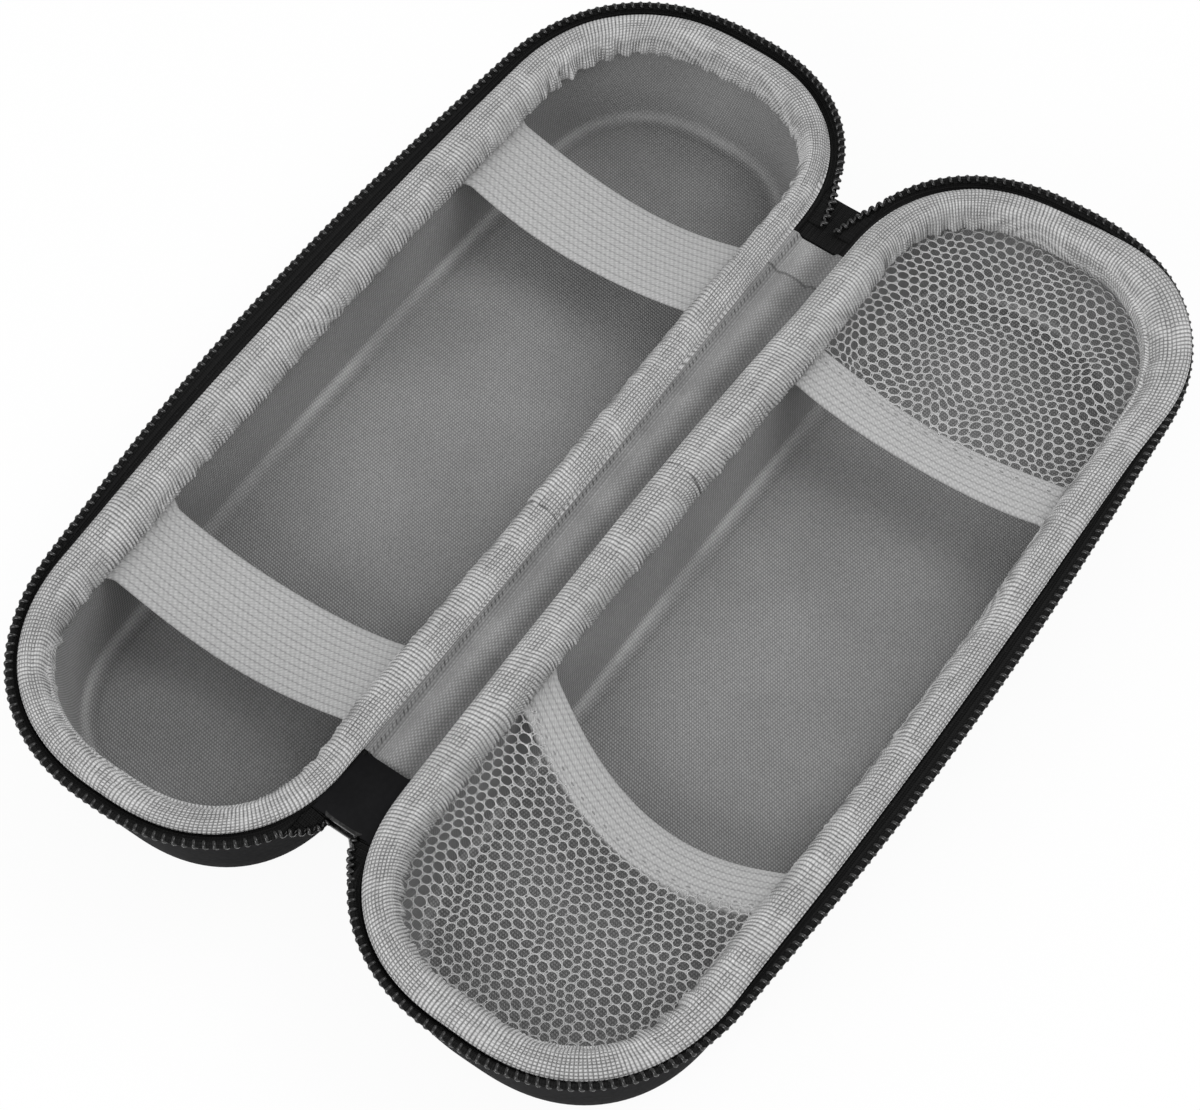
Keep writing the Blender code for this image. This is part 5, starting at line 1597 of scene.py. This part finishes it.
FLOOR_HALF = 4  # metres
LAMPS = (  # name, place, width and share of the key lamp's power
    ("key", (0.0, -1.015, 0.54), 0.7, 1.0),
    ("fill", (0.33, 0.571, 0.942), 0.7, 0.55),
    ("glint", (0.25, 0.9, 0.55), 0.18, 0.14),
)
CAMERA_SHIFT = (-0.01296, -0.0536)  # in shares of the frame's width
WHITE = (1, 1, 1, 1)


class CASE_OT_stage(CasePiece):
    """Set the pale floor, the soft lamps and the camera"""

    bl_idname = "case.make_stage"
    bl_label = "Make stage"

    def build(self, scene):
        s = scene.case_stage
        scene.view_settings.view_transform = "Standard"
        corners = [(-1, -1), (1, -1), (1, 1), (-1, 1)]
        mesh = bpy.data.meshes.new("floor")
        mesh.from_pydata([(x * FLOOR_HALF, y * FLOOR_HALF, 0) for x, y in corners], [], [(0, 1, 2, 3)])
        floor = bpy.data.objects.new("floor", mesh)
        scene.collection.objects.link(floor)
        mesh.materials.append(self.paper())
        self.sky(scene, s.world)
        for name, place, size, part in LAMPS:
            self.lamp(scene, name, place, size, s.key * part)
        self.camera(scene, s)

    def paper(self):
        """White paper: lit and shaded as paper, and near white to the camera and in reflections."""
        made = bpy.data.materials.new("White paper")
        made.use_nodes = True
        made.node_tree.nodes.clear()
        n = Nodes(made.node_tree)
        matt = n.add("ShaderNodeBsdfDiffuse", {"Color": (0.9, 0.9, 0.9, 1)}).outputs[0]
        glow = n.add("ShaderNodeEmission", {"Color": WHITE}).outputs[0]
        ray = n.add("ShaderNodeLightPath").outputs
        seen = n.math("MAXIMUM", ray["Is Camera Ray"], ray["Is Glossy Ray"])
        seen = n.math("MAXIMUM", seen, ray["Is Transmission Ray"])
        mix = n.add("ShaderNodeMixShader", {0: n.times(seen, 0.93), 1: matt, 2: glow}).outputs[0]
        n.add("ShaderNodeOutputMaterial", {0: mix})
        return made

    def sky(self, scene, strength):
        """Even white light, and plain white where the camera sees it."""
        scene.world = bpy.data.worlds.new("Even white")
        scene.world.use_nodes = True
        n = Nodes(scene.world.node_tree)
        seen = n.add("ShaderNodeLightPath").outputs["Is Camera Ray"]
        level = n.add("ShaderNodeMix", {0: seen, 2: strength, 3: 1.0}, data_type="FLOAT").outputs[0]
        back = n.tree.nodes["Background"]
        back.inputs["Color"].default_value = WHITE
        n.tree.links.new(level, back.inputs["Strength"])

    def lamp(self, scene, name, place, size, power):
        """A square soft lamp that looks at the case."""
        data = bpy.data.lights.new(name + "_lamp", "AREA")
        data.size, data.energy = size, power
        thing = bpy.data.objects.new(name + "_lamp", data)
        scene.collection.objects.link(thing)
        thing.location = place
        thing.rotation_euler = (-Vector(place)).to_track_quat("-Z", "Y").to_euler()

    def camera(self, scene, s):
        """The camera at the photo's angle."""
        level = math.cos(s.height)
        back = Vector((math.sin(s.yaw) * level, -math.cos(s.yaw) * level, math.sin(s.height)))
        right = Vector((math.cos(s.yaw), math.sin(s.yaw), 0))
        up = back.cross(right)
        across = right * math.cos(s.roll) + up * math.sin(s.roll)
        above = up * math.cos(s.roll) - right * math.sin(s.roll)
        data = bpy.data.cameras.new("camera")
        data.sensor_width, data.lens = 36, s.lens
        data.shift_x, data.shift_y = CAMERA_SHIFT
        data.clip_start = 0.01
        eye = bpy.data.objects.new("camera", data)
        scene.collection.objects.link(eye)
        matrix = Matrix((across, above, back)).transposed().to_4x4()
        matrix.translation = Vector((0, 0, RIM_Z)) + back * s.distance
        eye.matrix_world = matrix
        scene.camera = eye


OPERATORS = (
    CASE_OT_shells,
    CASE_OT_bindings,
    CASE_OT_tapes,
    CASE_OT_coils,
    CASE_OT_straps,
    CASE_OT_trims,
    CASE_OT_nets,
    CASE_OT_hinge,
    CASE_OT_slider,
    CASE_OT_stage,
)


class CASE_PT_panel(bpy.types.Panel):
    """The case's operators, sizes and colours"""

    bl_label = "Toothbrush travel case"
    bl_idname = "CASE_PT_panel"
    bl_space_type = "VIEW_3D"
    bl_region_type = "UI"
    bl_category = "Travel case"

    def draw(self, context):
        for operator in OPERATORS:
            self.layout.operator(operator.bl_idname)
        for name, group in GROUPS.items():
            box = self.layout.box()
            box.label(text=group.__doc__)
            for key in group.__annotations__:
                box.prop(getattr(context.scene, name), key)


def register():
    """Register the properties, operators and panel."""
    for kind in (*GROUPS.values(), *OPERATORS, CASE_PT_panel):
        bpy.utils.register_class(kind)
    for name, group in GROUPS.items():
        setattr(bpy.types.Scene, name, bpy.props.PointerProperty(type=group))


def unregister():
    """Take the properties, operators and panel away."""
    for name in GROUPS:
        delattr(bpy.types.Scene, name)
    for kind in (CASE_PT_panel, *OPERATORS[::-1], *list(GROUPS.values())[::-1]):
        bpy.utils.unregister_class(kind)


def main():
    """Build the whole case and its stage."""
    register()
    for operator in OPERATORS:
        group, name = operator.bl_idname.split(".")
        getattr(getattr(bpy.ops, group), name)()


if __name__ == "__main__":
    main()
